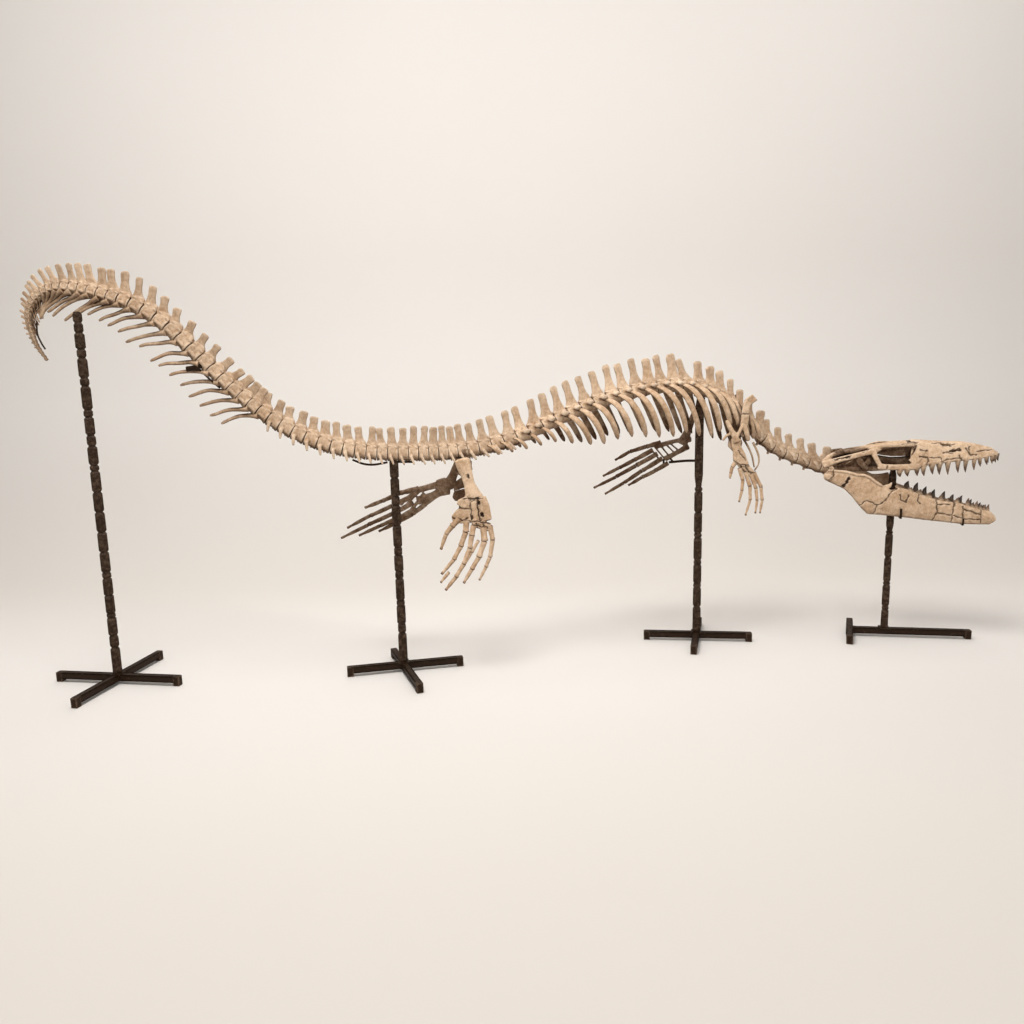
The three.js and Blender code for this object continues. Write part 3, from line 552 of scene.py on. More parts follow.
def set_values(mesh: Mesh, name: str, values: Sequence) -> None:
    """Stores a whole number, a number or a vector for each vertex of a mesh.

    Args:
        mesh: The mesh.
        name: The attribute's name.
        values: The values in the order of the vertices.
    """
    found = np.array(values)
    whole, wide = found.dtype.kind in "iu", found.ndim > 1
    kind = "FLOAT_VECTOR" if wide else "INT" if whole else "FLOAT"
    layer = mesh.attributes.get(name) or mesh.attributes.new(name, kind, "POINT")
    flat = found.astype(np.int32 if whole else np.float32).ravel()
    layer.data.foreach_set("vector" if wide else "value", flat)


@dataclass
class StationRow:
    """Row of stations that becomes one piece."""

    name: str
    stations: list[Station] = field(default_factory=list)

    def add(self, station: Station) -> None:
        """Adds a station."""
        self.stations.append(station)

    def build(self, tree: StationTree, shapes: Shapes, finish: Material, **jitter: float) -> Piece:
        """Makes the piece.

        Args:
            tree: The tree that sets the shapes.
            shapes: The shapes, picked by each station's kind.
            finish: The material.
            jitter: Turn and size jitter and the seed, by short names.

        Returns:
            The piece.
        """
        mesh = bpy.data.meshes.new(self.name)
        mesh.from_pydata([s.place for s in self.stations], [], [])
        set_values(mesh, "turn", [s.turn.to_euler("XYZ")[:] for s in self.stations])
        set_values(mesh, "size", [s.size[:] for s in self.stations])
        set_values(mesh, "kind", [s.kind for s in self.stations])
        set_values(mesh, "tint", [float(s.tint) for s in self.stations])
        return tree.run(mesh, {
            "Shapes": shapes, "Finish": finish, "Turn Jitter": jitter.get("turn", 0.0),
            "Size Jitter": jitter.get("size", 0.0), "Seed": int(jitter.get("seed", 1)),
        })


@dataclass(frozen=True)
class BonePath:
    """Path that a slender bone follows, with its half width at each point."""

    points: Sequence[Vector]
    girths: Sequence[float]
    facing: Vector
    tint: float = 0.0
    tip: float = 0.0

    def tints(self) -> list[float]:
        """Darkening at each point: varied tone, with painted shade on the far side, more toward the tip."""
        last = len(self.points) - 1
        return [min(self.tint + self.tip * steady(i / last, 0.72, 1.0), 1.0) for i in range(last + 1)]

    def facings(self) -> list[Vector]:
        """Facing at each point, square to the path.

        Returns:
            One direction for each point.
        """
        last = len(self.points) - 1
        found = []
        for i in range(last + 1):
            run = (self.points[min(i + 1, last)] - self.points[max(i - 1, 0)]).normalized()
            found.append((self.facing - run * self.facing.dot(run)).normalized())
        return found


@dataclass
class PathBundle:
    """Bundle of paths that becomes one piece of slender bones."""

    name: str
    paths: list[BonePath] = field(default_factory=list)

    def add(self, path: BonePath) -> None:
        """Adds a path."""
        self.paths.append(path)

    def wire(self, places: Sequence[Sequence[float]], girth: float, facing: Vector = UP) -> None:
        """Adds a smooth wire of even girth.

        Args:
            places: Places that it passes through.
            girth: Its half width.
            facing: Direction of its flat side.
        """
        line = smooth_path([Vector(p) for p in places], 6)
        self.add(BonePath(line, [girth] * len(line), facing))

    def build(self, tree: SweepTree, finish: Material, **values: float) -> Piece:
        """Makes the piece.

        Args:
            tree: The tree that draws the bones.
            finish: The material.
            values: Sides, flatness, lump size and seed, by short names.

        Returns:
            The piece.
        """
        points, edges = [], []
        for path in self.paths:
            start = len(points)
            points.extend(path.points)
            edges += [(i, i + 1) for i in range(start, len(points) - 1)]
        mesh = bpy.data.meshes.new(self.name)
        mesh.from_pydata(points, edges, [])
        set_values(mesh, "girth", [float(g) for path in self.paths for g in path.girths])
        set_values(mesh, "facing", [n[:] for path in self.paths for n in path.facings()])
        set_values(mesh, "tint", [value for path in self.paths for value in path.tints()])
        return tree.run(mesh, {
            "Finish": finish, "Sides": int(values.get("sides", 10)), "Flatness": values.get("flatness", 0.6),
            "Lump Size": values.get("lumps", 0.0015), "Seed": int(values.get("seed", 1)),
        })


def oval(half_width: float, half_depth: float, sides: int) -> list[Pair]:
    """Corners of an oval, from the top round toward the width's side."""
    turns = [2 * math.pi * i / sides for i in range(sides)]
    return [(half_width * math.sin(t), half_depth * math.cos(t)) for t in turns]


def soft_box(half_width: float, half_depth: float, sides: int) -> list[Pair]:
    """Corners of a box with well rounded edges.

    Args:
        half_width: Half width in metres.
        half_depth: Half depth in metres.
        sides: Number of points.

    Returns:
        The points, as (across, deep).
    """
    corners = []
    for i in range(sides):
        t = 2 * math.pi * i / sides
        across, deep = math.sin(t), math.cos(t)
        wide = half_width * math.copysign(abs(across) ** 0.5, across)
        corners.append((wide, half_depth * math.copysign(abs(deep) ** 0.5, deep)))
    return corners


class Draft:
    """Closed shells that are gathered into one mesh."""

    def __init__(self) -> None:
        """Starts with nothing."""
        self.points: list[Vector] = []
        self.faces: list[tuple[int, ...]] = []

    def rings(self, rings: Sequence[Sequence[Vector]]) -> "Draft":
        """Adds a closed shell through rings of equal count.

        Args:
            rings: The rings in order, with a flat end at each end.

        Returns:
            The draft itself.
        """
        start = len(self.points)
        sides = len(rings[0])
        for ring in rings:
            self.points.extend(Vector(p) for p in ring)
        for i in range(len(rings) - 1):
            low = start + i * sides
            for j in range(sides):
                k = (j + 1) % sides
                self.faces.append((low + j, low + k, low + sides + k, low + sides + j))
        last = start + (len(rings) - 1) * sides
        self.faces.append(tuple(range(start + sides - 1, start - 1, -1)))
        self.faces.append(tuple(range(last, last + sides)))
        return self

    def bar(
        self,
        places: Sequence[Sequence[float]],
        halves: Sequence[Pair],
        wide: Vector,
        sides: int = 8,
        outline: Callable[[float, float, int], list[Pair]] = oval,
    ) -> "Draft":
        """Adds a bar through places, with blunt rounded ends.

        Args:
            places: Points of its middle line.
            halves: Half width and half depth at each place.
            wide: Direction of its width.
            sides: Corners of its section.
            outline: Shape of its section.

        Returns:
            The draft itself.
        """
        line = [Vector(p) for p in places]
        rings = []
        for i, at in enumerate(line):
            travel = (line[min(i + 1, len(line) - 1)] - line[max(i - 1, 0)]).normalized()
            across = (wide - travel * wide.dot(travel)).normalized()
            up = travel.cross(across)
            section = outline(halves[i][0], halves[i][1], sides)
            ring = [at + across * a + up * b for a, b in section]
            if i in (0, len(line) - 1):
                sign = -1 if i == 0 else 1
                bulge = 0.45 * min(halves[i])
                tip = [at + travel * (sign * bulge) + (p - at) * 0.6 for p in ring]
                rings.extend([tip, ring] if i == 0 else [ring, tip])
            else:
                rings.append(ring)
        return self.rings(rings)

    def plate(self, outline: Sequence[Vector], thick: Vector) -> "Draft":
        """Adds a flat plate.

        Args:
            outline: Corners of its middle plane.
            thick: Its thickness, from face to face.

        Returns:
            The draft itself.
        """
        return self.rings([[p - thick / 2 for p in outline], [p + thick / 2 for p in outline]])

    def make(self, name: str) -> Piece:
        """Makes the object, with its faces pointing outward.

        Args:
            name: Name of the piece.

        Returns:
            The piece.
        """
        mesh = bpy.data.meshes.new(name)
        mesh.from_pydata(self.points, [], self.faces)
        edit = bmesh.new()
        edit.from_mesh(mesh)
        bmesh.ops.recalc_face_normals(edit, faces=edit.faces)
        edit.to_mesh(mesh)
        edit.free()
        return new_object(name, mesh)


@dataclass(frozen=True)
class Melt:
    """How overlapping shells are melted into one bone."""

    voxel: float
    smooth: int = 6
    lumps: float = 0.0
    lump_size: float = 0.02
    keep: float = 1.0

    def run(self, piece: Piece) -> Piece:
        """Melts a piece's shells together, smooths them and adds small lumps.

        Args:
            piece: The piece.

        Returns:
            The same piece.
        """
        remesh = piece.modifiers.new("melt", "REMESH")
        remesh.mode = "VOXEL"
        remesh.voxel_size = self.voxel
        smooth = piece.modifiers.new("smooth", "SMOOTH")
        smooth.factor = 0.5
        smooth.iterations = self.smooth
        if self.lumps > 0:
            clouds = bpy.data.textures.new(piece.name + "_lumps", "CLOUDS")
            clouds.noise_basis = "IMPROVED_PERLIN"
            clouds.noise_scale = self.lump_size
            clouds.noise_depth = 3
            displace = piece.modifiers.new("lumps", "DISPLACE")
            displace.texture = clouds
            displace.texture_coords = "LOCAL"
            displace.strength = self.lumps
            displace.mid_level = 0.5
        if self.keep < 1:
            thin = piece.modifiers.new("thin", "DECIMATE")
            thin.ratio = self.keep
        apply_modifiers(piece)
        piece.data.shade_smooth()
        return piece


@dataclass(frozen=True)
class Crack:
    """Crack or seam drawn on the outer face of a bone, by (x, z) points."""

    points: Line
    width: float = 0.0035
    depth: float = 0.005


def coordinates(mesh: Mesh) -> np.ndarray:
    """Places of a mesh's vertices.

    Args:
        mesh: The mesh.

    Returns:
        One row of three numbers for each vertex.
    """
    flat = np.zeros(len(mesh.vertices) * 3, np.float32)
    mesh.vertices.foreach_get("co", flat)
    return flat.reshape(-1, 3)


def normals(mesh: Mesh) -> np.ndarray:
    """Outward directions at a mesh's vertices.

    Args:
        mesh: The mesh.

    Returns:
        One row of three numbers for each vertex.
    """
    flat = np.zeros(len(mesh.vertices) * 3, np.float32)
    mesh.vertex_normals.foreach_get("vector", flat)
    return flat.reshape(-1, 3)


def carve(mesh: Mesh, cracks: Sequence[Crack], outward: float) -> np.ndarray:
    """Pushes the surface in along cracks on one side of a bone.

    Args:
        mesh: The bone's mesh, in a frame whose y runs across the bone.
        cracks: The cracks.
        outward: Sign of y on the face that carries them.

    Returns:
        How near each vertex is to a crack, from 0 to 1.
    """
    places = coordinates(mesh)
    facing = normals(mesh)
    seam = np.zeros(len(places), np.float32)
    outer = facing[:, 1] * outward > 0.15
    flat = places[:, (0, 2)].astype(np.float64)
    x, z = flat.T
    drift = np.stack([np.sin(190 * z + 1.3) + 0.6 * np.sin(430 * x),
                      np.sin(170 * x) + 0.6 * np.sin(390 * z + 2)], 1)
    swell = 1 + 0.30 * np.sin(230 * x + 170 * z) + 0.22 * np.sin(610 * z - 380 * x)
    for crack in cracks:
        wander = min(0.35 * crack.width, 0.0013) * drift
        for (x0, z0), (x1, z1) in pairwise(crack.points):
            run = np.array([x1 - x0, z1 - z0])
            reach = flat + wander - np.array([x0, z0])
            share = np.clip(reach @ run / (run @ run), 0, 1)
            gap = np.linalg.norm(reach - share[:, None] * run, axis=1)
            near = np.clip(1 - gap / (crack.width * swell), 0, 1) * outer
            deeper = near > seam
            places[deeper] -= facing[deeper] * ((near - seam)[deeper] * crack.depth)[:, None]
            seam = np.maximum(seam, near)
    mesh.vertices.foreach_set("co", places.ravel())
    mesh.update()
    return seam


def mark_relief(mesh: Mesh, stain: np.ndarray, rounds: int = 7, scale: float = 0.0016) -> None:
    """Stores stain and edge, with painted shade in the hollows and ridges marked as edges, which the bone
    finish paints paler.

    Args:
        mesh: The mesh.
        stain: Stain and painted shade that it has already.
        rounds: Rounds of smoothing that show the relief. More of them find broader hollows.
        scale: Depth in metres that counts in full.
    """
    places = coordinates(mesh)
    ends = np.zeros(len(mesh.edges) * 2, np.int32)
    mesh.edges.foreach_get("vertices", ends)
    ends = ends.reshape(-1, 2)
    count = np.bincount(ends.ravel(), minlength=len(places))[:, None]
    smooth = places.copy()
    for _ in range(rounds):
        total = np.zeros_like(smooth)
        for axis in range(3):
            total[:, axis] = np.bincount(ends[:, 0], smooth[ends[:, 1], axis], len(places))
            total[:, axis] += np.bincount(ends[:, 1], smooth[ends[:, 0], axis], len(places))
        smooth = 0.5 * smooth + 0.5 * total / np.maximum(count, 1)
    depth = np.clip(((smooth - places) * normals(mesh)).sum(1) / scale, -1, 1)
    # Painted shade in hollows, added to the stain that the mesh has.
    set_values(mesh, "stain", np.clip(stain + 0.85 * np.clip(depth, 0, 1), 0, 1))
    set_values(mesh, "edge", np.clip(-depth, 0, 1) * (1 - np.clip(stain, 0, 1)))


def shape_collection(name: str, shapes: Sequence[Piece]) -> Shapes:
    """Gathers shapes that rows pick from, out of the scene itself.

    Args:
        name: The collection's name.
        shapes: The shapes in order of kind.

    Returns:
        The collection.
    """
    group = bpy.data.collections.new(name)
    for number, shape in enumerate(shapes):
        shape.name = f"{name}_{number:02d}"
        bpy.context.scene.collection.objects.unlink(shape)
        group.objects.link(shape)
    return group


def smooth_path(points: Sequence[Vector], steps: int) -> list[Vector]:
    """Points along a smooth curve through others.

    Args:
        points: Places that the curve passes through.
        steps: Steps between one place and the next.

    Returns:
        The closer points.
    """
    line = [2 * points[0] - points[1], *points, 2 * points[-1] - points[-2]]
    close = []
    for a, b, c, d in zip(line, line[1:], line[2:], line[3:]):
        for i in range(steps):
            t = i / steps
            close.append(glide(a, b, c, d, t))
    close.append(Vector(points[-1]))
    return close


def steady(share: float, low: float, high: float) -> float:
    """Smooth step from 0 at low to 1 at high."""
    t = min(max((share - low) / (high - low), 0.0), 1.0)
    return t * t * (3 - 2 * t)


class Shared(Enum):
    """Shader groups that several finishes use."""

    MOTTLE = "mottle"
    GRAIN = "grain"
    EDGE_WEAR = "edge_wear"


class SharedGroup:
    """Start of a shader group: its writer, its inputs and the object's own coordinates."""

    def __init__(self, shared: Shared, inputs: dict[str, float], outputs: Sequence[str]) -> None:
        """Starts the group.

        Args:
            shared: Which group.
            inputs: First value of each named input.
            outputs: Names of its outputs.
        """
        self.write = NodeWriter(bpy.data.node_groups.new(shared.value, "ShaderNodeTree"))
        for name, value in inputs.items():
            self.write.socket(name, "Float", value)
        for name in outputs:
            self.write.socket(name, "Float", output=True)
        self.given = self.write.add("NodeGroupInput").outputs
        self.spot = self.write.add("ShaderNodeTexCoord").outputs["Object"]

    def end(self, outputs: dict[str, Socket]) -> NodeTree:
        """Links the outputs and gives back the group's tree."""
        self.write.add("NodeGroupOutput", outputs)
        return self.write.tree


class GroupShelf:
    """Shader groups, each built once."""

    def __init__(self) -> None:
        """Builds the groups."""
        self.groups = {
            Shared.MOTTLE: self._mottle(), Shared.GRAIN: self._grain(), Shared.EDGE_WEAR: self._edge_wear(),
        }

    def _mottle(self) -> NodeTree:
        """Broad and close patches, from 0 to 1 about a half, and dark specks.

        Returns:
            The group.
        """
        inputs = {"Broad Scale": 9.0, "Close Scale": 60.0, "Balance": 0.5}
        group = SharedGroup(Shared.MOTTLE, inputs, ("Patches", "Specks"))
        write, given, spot = group.write, group.given, group.spot
        broad = write.noise(spot, given["Broad Scale"], 4.0, 0.62)
        close = write.noise(spot, given["Close Scale"], 5.0, 0.68)
        both = write.add("ShaderNodeMix", {0: given["Balance"], 2: broad, 3: close}, data_type="FLOAT")
        pits = write.add("ShaderNodeTexVoronoi", {"Vector": spot, "Scale": 190.0})
        speck = write.ramp(pits.outputs["Distance"], 0.10, 0.26, 1.0, 0.0)
        specks = write.sum("MULTIPLY", speck, write.ramp(close, 0.5, 0.62))
        return group.end({"Patches": write.ramp(both.outputs[0], 0.34, 0.66, ease=True), "Specks": specks})

    def _grain(self) -> NodeTree:
        """Fibres and small hollows of weathered bone, as a height and as fine dark streaks.

        Returns:
            The group.
        """
        group = SharedGroup(Shared.GRAIN, {"Fibre Scale": 140.0}, ("Height", "Streaks"))
        write, spot = group.write, group.spot
        stretch = write.add("ShaderNodeMapping", {"Vector": spot, "Scale": (1.0, 1.0, 0.28)}).outputs[0]
        fibre = write.noise(stretch, group.given["Fibre Scale"], 4.0, 0.7)
        coarse = write.noise(spot, 46.0, 5.0, 0.6)
        height = write.sum("ADD", write.sum("MULTIPLY", fibre, 0.45), coarse)
        return group.end({"Height": height, "Streaks": write.ramp(fibre, 0.56, 0.72)})

    def _edge_wear(self) -> NodeTree:
        """Scuffs, stronger where the edge attribute is high.

        Returns:
            The group.
        """
        group = SharedGroup(Shared.EDGE_WEAR, {"Amount": 0.5, "Scale": 60.0}, ("Wear",))
        write, given = group.write, group.given
        lift = write.sum("MULTIPLY", write.attribute("edge"), given["Amount"])
        high = write.sum("ADD", write.noise(group.spot, given["Scale"], 6.0, 0.7), lift)
        return group.end({"Wear": write.ramp(high, 0.58, 0.82)})


class Finish:
    """Material in the making, with its writer and its surface shader."""

    def __init__(self, name: str, roughness: float, shelf: GroupShelf | None = None) -> None:
        """Starts the material.

        Args:
            name: Its name.
            roughness: Its plain roughness.
            shelf: The shader groups, where it uses them.
        """
        self.material = bpy.data.materials.new(name)
        self.material.use_nodes = True
        self.write = NodeWriter(self.material.node_tree)
        self.shader = self.material.node_tree.nodes["Principled BSDF"]
        self.shader.inputs["Roughness"].default_value = roughness
        self.shelf = shelf

    def place(self, shared: Shared, **values: float) -> bpy.types.NodeOutputs:
        """Places a shared group.

        Args:
            shared: Which group.
            values: Its inputs, with spaces written as underscores.

        Returns:
            The group's outputs.
        """
        node = self.write.add("ShaderNodeGroup", node_tree=self.shelf.groups[shared])
        for name, value in values.items():
            node.inputs[name.replace("_", " ")].default_value = value
        return node.outputs

    def feed(self, name: str, value: Socket) -> None:
        """Links a value to an input of the surface shader."""
        self.write.tree.links.new(value, self.shader.inputs[name])

    def emboss(self, height: Socket, strength: float, distance: float) -> None:
        """Gives the surface a fine relief from a height."""
        links = {"Strength": strength, "Distance": distance, "Height": height}
        self.feed("Normal", self.write.add("ShaderNodeBump", links).outputs[0])


@dataclass(frozen=True)
class BoneFinish:
    """Old pale bone: mottled tan, darker where it is stained, near black in its joints, with painted shade on
    its undersides, in its hollows, where bones crowd and on the far side, and paler ridges that are partly
    painted highlight.
    """

    pale: tuple = (0.88, 0.655, 0.455, 1)
    warm: tuple = (0.53, 0.33, 0.19, 1)
    brown: tuple = (0.062, 0.027, 0.011, 1)
    crack: tuple = (0.024, 0.012, 0.0065, 1)
    worn_ridge_highlight: tuple = (0.90, 0.77, 0.62, 1)
    roughness: float = 0.62
    bump: float = 0.85
    underside_shade: float = 0.80

    def make(self, shelf: GroupShelf) -> Material:
        """Builds the material.

        Args:
            shelf: The shader groups.

        Returns:
            The material.
        """
        finish = Finish("old_bone", self.roughness, shelf)
        write = finish.write
        mottle = finish.place(Shared.MOTTLE, Broad_Scale=7.0, Close_Scale=55.0, Balance=0.55)
        grain = finish.place(Shared.GRAIN, Fibre_Scale=150.0)
        patches = mottle["Patches"]
        base = write.mix(patches, self.warm, self.pale)
        base = write.mix(write.sum("MULTIPLY", grain["Streaks"], 0.42), base, self.brown)
        # Paler on ridges: partly worn edges, partly painted highlight.
        base = write.mix(write.sum("MULTIPLY", write.attribute("edge"), 0.55), base, self.worn_ridge_highlight)
        # Painted shade: faces that point down are darkened toward brown.
        normal = write.add("ShaderNodeNewGeometry").outputs["Normal"]
        facing = write.add("ShaderNodeSeparateXYZ", {0: normal}).outputs[2]
        shade_and_stain = write.ramp(facing, 0.12, -0.75, 0.0, self.underside_shade)
        # Stain with painted shade in hollows, painted shade where bones crowd, and tint with the far side's
        # painted shade darken it further.
        for name in ("stain", "grime", "tint"):
            shade_and_stain = write.sum("MAXIMUM", write.attribute(name), shade_and_stain)
        dark = write.sum("MULTIPLY", shade_and_stain, write.ramp(patches, 0.0, 1.0, 1.12, 0.82), clamp=True)
        base = write.mix(dark, base, self.brown)
        base = write.mix(write.sum("MULTIPLY", mottle["Specks"], 0.55), base, self.brown)
        line = write.sum("MULTIPLY", write.attribute("seam"), write.ramp(patches, 0.0, 1.0, 1.0, 0.7))
        finish.feed("Base Color", write.mix(line, base, self.crack))
        finish.feed("Roughness", write.ramp(patches, 0.0, 1.0, self.roughness + 0.14, self.roughness))
        finish.shader.inputs["Specular IOR Level"].default_value = 0.22
        finish.emboss(grain["Height"], self.bump, 0.0022)
        return finish.material


@dataclass(frozen=True)
class ToothFinish:
    """Brown glossy enamel, paler at the root, with painted shade on the far rows."""

    root: tuple = (0.56, 0.40, 0.26, 1)
    crown: tuple = (0.115, 0.058, 0.030, 1)
    deep: tuple = (0.03, 0.016, 0.010, 1)
    roughness: float = 0.34

    def make(self, shelf: GroupShelf) -> Material:
        """Builds the material.

        Args:
            shelf: The shader groups.

        Returns:
            The material.
        """
        finish = Finish("tooth_enamel", self.roughness, shelf)
        write = finish.write
        mottle = finish.place(Shared.MOTTLE, Broad_Scale=30.0, Close_Scale=120.0, Balance=0.5)
        swing = write.ramp(mottle["Patches"], 0.0, 1.0, -0.25, 0.25)
        share = write.sum("ADD", write.attribute("crown"), swing, clamp=True)
        base = write.mix(share, self.root, self.crown)
        # Darkened by the tint: varied tone on the near rows, painted shade on the far rows.
        finish.feed("Base Color", write.mix(write.attribute("tint"), base, self.deep))
        finish.emboss(finish.place(Shared.GRAIN, Fibre_Scale=260.0)["Height"], 0.3, 0.001)
        return finish.material


@dataclass(frozen=True)
class SteelFinish:
    """Brown-black painted steel tube, scuffed along its edges."""

    paint: tuple = (0.024, 0.0120, 0.0056, 1)
    worn: tuple = (0.050, 0.028, 0.016, 1)
    scuff: tuple = (0.115, 0.074, 0.048, 1)
    roughness: float = 0.55

    def make(self, shelf: GroupShelf) -> Material:
        """Builds the material.

        Args:
            shelf: The shader groups.

        Returns:
            The material.
        """
        finish = Finish("stand_steel", self.roughness, shelf)
        write = finish.write
        patches = finish.place(Shared.MOTTLE, Broad_Scale=14.0, Close_Scale=90.0, Balance=0.6)["Patches"]
        wear = finish.place(Shared.EDGE_WEAR, Amount=0.22, Scale=70.0)["Wear"]
        base = write.mix(write.sum("MULTIPLY", patches, 0.25), self.paint, self.worn)
        finish.feed("Base Color", write.mix(wear, base, self.scuff))
        finish.feed("Roughness", write.ramp(patches, 0.0, 1.0, self.roughness - 0.1, 0.68))
        finish.shader.inputs["Specular IOR Level"].default_value = 0.12
        finish.emboss(finish.place(Shared.GRAIN, Fibre_Scale=220.0)["Height"], 0.25, 0.0012)
        return finish.material


@dataclass(frozen=True)
class BackdropFinish:
    """Smooth off-white studio paper, with painted shade that darkens it toward its sides, toward the camera
    and in its bend up into the wall.
    """

    colour: tuple = (0.868, 0.832, 0.794, 1)
    shade: tuple = (0.85498, 0.81952, 0.78209, 1)
    vignette_shade: tuple = (0.62, 0.56, 0.50, 1)

    def make(self) -> Material:
        """Builds the material.

        Returns:
            The material.
        """
        finish = Finish("studio_paper", 0.85)
        write = finish.write
        spot = write.add("ShaderNodeTexCoord").outputs["Object"]
        base = write.mix(write.noise(spot, 1.3, 3.0), self.colour, self.shade)
        x, y, z = write.add("ShaderNodeSeparateXYZ", {0: spot}).outputs
        # Painted shade: darker toward the sides, toward the camera, and low in the bend up into the wall.
        sides = write.ramp(write.sum("ABSOLUTE", x), 1.0, 4.4, 0.0, 0.02, ease=True)
        near = write.ramp(y, 0.5, -2.4, 0.0, 0.60, ease=True)
        back = write.ramp(y, -0.1, 1.6, 0.0, 0.36, ease=True)
        bend = write.sum("MULTIPLY", back, write.ramp(z, 0.0, 1.3, 1.0, 0.0, ease=True))
        painted_vignette = write.sum("MAXIMUM", write.sum("MAXIMUM", sides, near), bend)
        finish.feed("Base Color", write.mix(painted_vignette, base, self.vignette_shade))
        return finish.material


def claim(piece: Piece, slot: str, *nodes: str) -> None:
    """Says what a piece rides on and the solids that it stands for.

    Args:
        piece: The piece.
        slot: Not used.
        nodes: The solids.
    """
    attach(piece, ROOT)
    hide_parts(*nodes)
    LOG.info("%s: %d faces", piece.name, len(piece.data.polygons))


def paint(piece: Piece, material: Material) -> None:
    """Gives a piece its one material."""
    piece.data.materials.clear()
    piece.data.materials.append(material)


@dataclass
class Workshop:
    """What every sub-assembly works with: the path of the spine, the trees and the finishes."""

    spine: SpinePath
    stations: StationTree
    sweeps: SweepTree
    bone: Material
    enamel: Material
    steel: Material
    vertebrae: list[Vertebra] = field(default_factory=list)


class VertebraKind(Enum):
    NECK = 0
    TRUNK = 3
    LOIN = 6
    REAR = 9

    @property
    def shade(self) -> float:
        """How much darker than the trunk's its bones are."""
        return {VertebraKind.NECK: 0.17, VertebraKind.LOIN: 0.11, VertebraKind.REAR: 0.17}.get(self, 0.0)


@dataclass
class VertebraKit:
    """Bodies and blades that the rows of vertebrae pick from, made at one nominal size."""

    length: float = 0.055
    radius: float = 0.031
    blade_width: float = 0.033
    blade_thickness: float = 0.014
    blade_height: float = 0.100
    variants: int = 3
    blades: int = 4

    def _body(self, kind: VertebraKind, chance: Random) -> Piece:
        """Makes the body, arch and side processes of one vertebra.

        Args:
            kind: Sort of vertebra.
            chance: Source of its small differences.

        Returns:
            The melted shape, with x toward the tail and z up.
        """
        half, r = self.length / 2, self.radius
        draft = Draft()
        profile = ((-0.97, 0.96), (-0.80, 1.0), (-0.45, 0.86), (0.0, 0.78), (0.45, 0.85), (0.80, 0.99),
                   (0.97, 0.94))
        rings = []
        for x, k in profile:
            section = oval(k * r * 0.98, k * r * 0.95, 20)
            rings.append([Vector((x * half, a, b)) for a, b in section])
        draft.rings(rings)
        step = chance.uniform(0.02, 0.10)
        walls = []
        levels = ((0.05, 0.80, 0.94), (0.45, 0.74, 0.95), (0.85, 0.60, 0.93), (1.1, 0.42, 0.86),
                  (1.3, 0.30, 0.70), (1.45, 0.2, 0.5))
        for z, y, x in levels:
            shift = step * steady(z, 0.4, 1.1)
            section = soft_box(x * half, y * r, 20)
            walls.append([Vector((a + shift * half, b, z * r)) for a, b in section])
        draft.rings(walls)
        for side in (-1, 1):
            reach = chance.uniform(0.95, 1.08)
            draft.bar(
                [(-0.4 * half, side * 0.42 * r, 0.92 * r), (-0.88 * half * reach, side * 0.50 * r, 0.84 * r)],
                [(0.0070, 0.0060), (0.0055, 0.0045)],
                LEFT,
            )
            draft.bar(
                [(0.4 * half, side * 0.34 * r, 1.02 * r), (0.86 * half * reach, side * 0.38 * r, 1.10 * r)],
                [(0.0070, 0.0060), (0.0050, 0.0042)],
                LEFT,
            )
            self._process(draft, kind, side, chance)
        piece = draft.make("body")
        Melt(voxel=0.0021, smooth=3, lumps=0.0030, lump_size=0.014, keep=0.36).run(piece)
        self._darken_underside_and_ends(piece.data, kind)
        return piece

    def _process(self, draft: Draft, kind: VertebraKind, side: int, chance: Random) -> None:
        """Adds the side process of one sort of vertebra.

        Args:
            draft: Where it goes.
            kind: Sort of vertebra.
            side: Side of the animal, as the sign of y.
            chance: Source of its small differences.
        """
        half, r = self.length / 2, self.radius
        more = chance.uniform(0.92, 1.1)
        if kind is VertebraKind.NECK:
            draft.bar(
                [(0.1 * half, side * 0.55 * r, 0.62 * r), (-0.25 * half, side * 1.0 * r, 0.28 * r),
                 (-0.62 * half * more, side * 1.22 * r, -0.22 * r)],
                [(0.011, 0.007), (0.010, 0.0055), (0.0075, 0.0045)],
                FORWARD,
            )
        elif kind is VertebraKind.TRUNK:
            draft.bar(
                [(-0.2 * half, side * 0.5 * r, 0.55 * r), (-0.3 * half, side * 1.05 * r, 0.62 * r),
                 (-0.42 * half, side * 1.52 * r * more, 0.50 * r)],
                [(0.013, 0.011), (0.012, 0.0095), (0.0145, 0.0115)],
                FORWARD,
            )
        elif kind is VertebraKind.LOIN:
            draft.bar(
                [(0.5 * half, side * 0.5 * r, 0.1 * r), (0.42 * half, side * 1.08 * r, -0.30 * r),
                 (0.10 * half, side * 1.36 * r, -0.80 * r),
                 (-0.10 * half * more, side * 1.50 * r, -1.14 * r)],
                [(0.0095, 0.008), (0.0085, 0.0065), (0.0062, 0.0052), (0.0052, 0.0042)],
                FORWARD,
            )
        else:
            draft.bar(
                [(-0.5 * half, side * 0.78 * r, -0.15 * r), (0.5 * half, side * 0.80 * r, -0.05 * r)],
                [(0.0075, 0.0055), (0.0065, 0.005)],
                UP,
            )

    def _darken_underside_and_ends(self, mesh: Mesh, kind: VertebraKind) -> None:
        """Darkens the underside of a body as painted shade, but not its side processes, and its ends as dark
        joints.

        Args:
            mesh: The body's mesh.
            kind: Sort of vertebra.
        """
        places = coordinates(mesh)
        # Painted shade: darker toward the bottom of the body.
        low = np.clip((-0.22 * self.radius - places[:, 2]) / (0.36 * self.radius), 0, 1)
        out = np.clip((np.abs(places[:, 1]) - 0.95 * self.radius) / (0.15 * self.radius), 0, 1)
        ends = np.clip((np.abs(places[:, 0]) - 0.86 * self.length / 2) / (0.10 * self.length / 2), 0, 1)
        strength = 0.95 if kind in (VertebraKind.LOIN, VertebraKind.NECK) else 0.70
        ends *= places[:, 2] < 1.3 * self.radius
        # Painted shade is also added in the hollows.
        mark_relief(mesh, np.maximum(strength * low * (1 - out), 0.92 * ends))

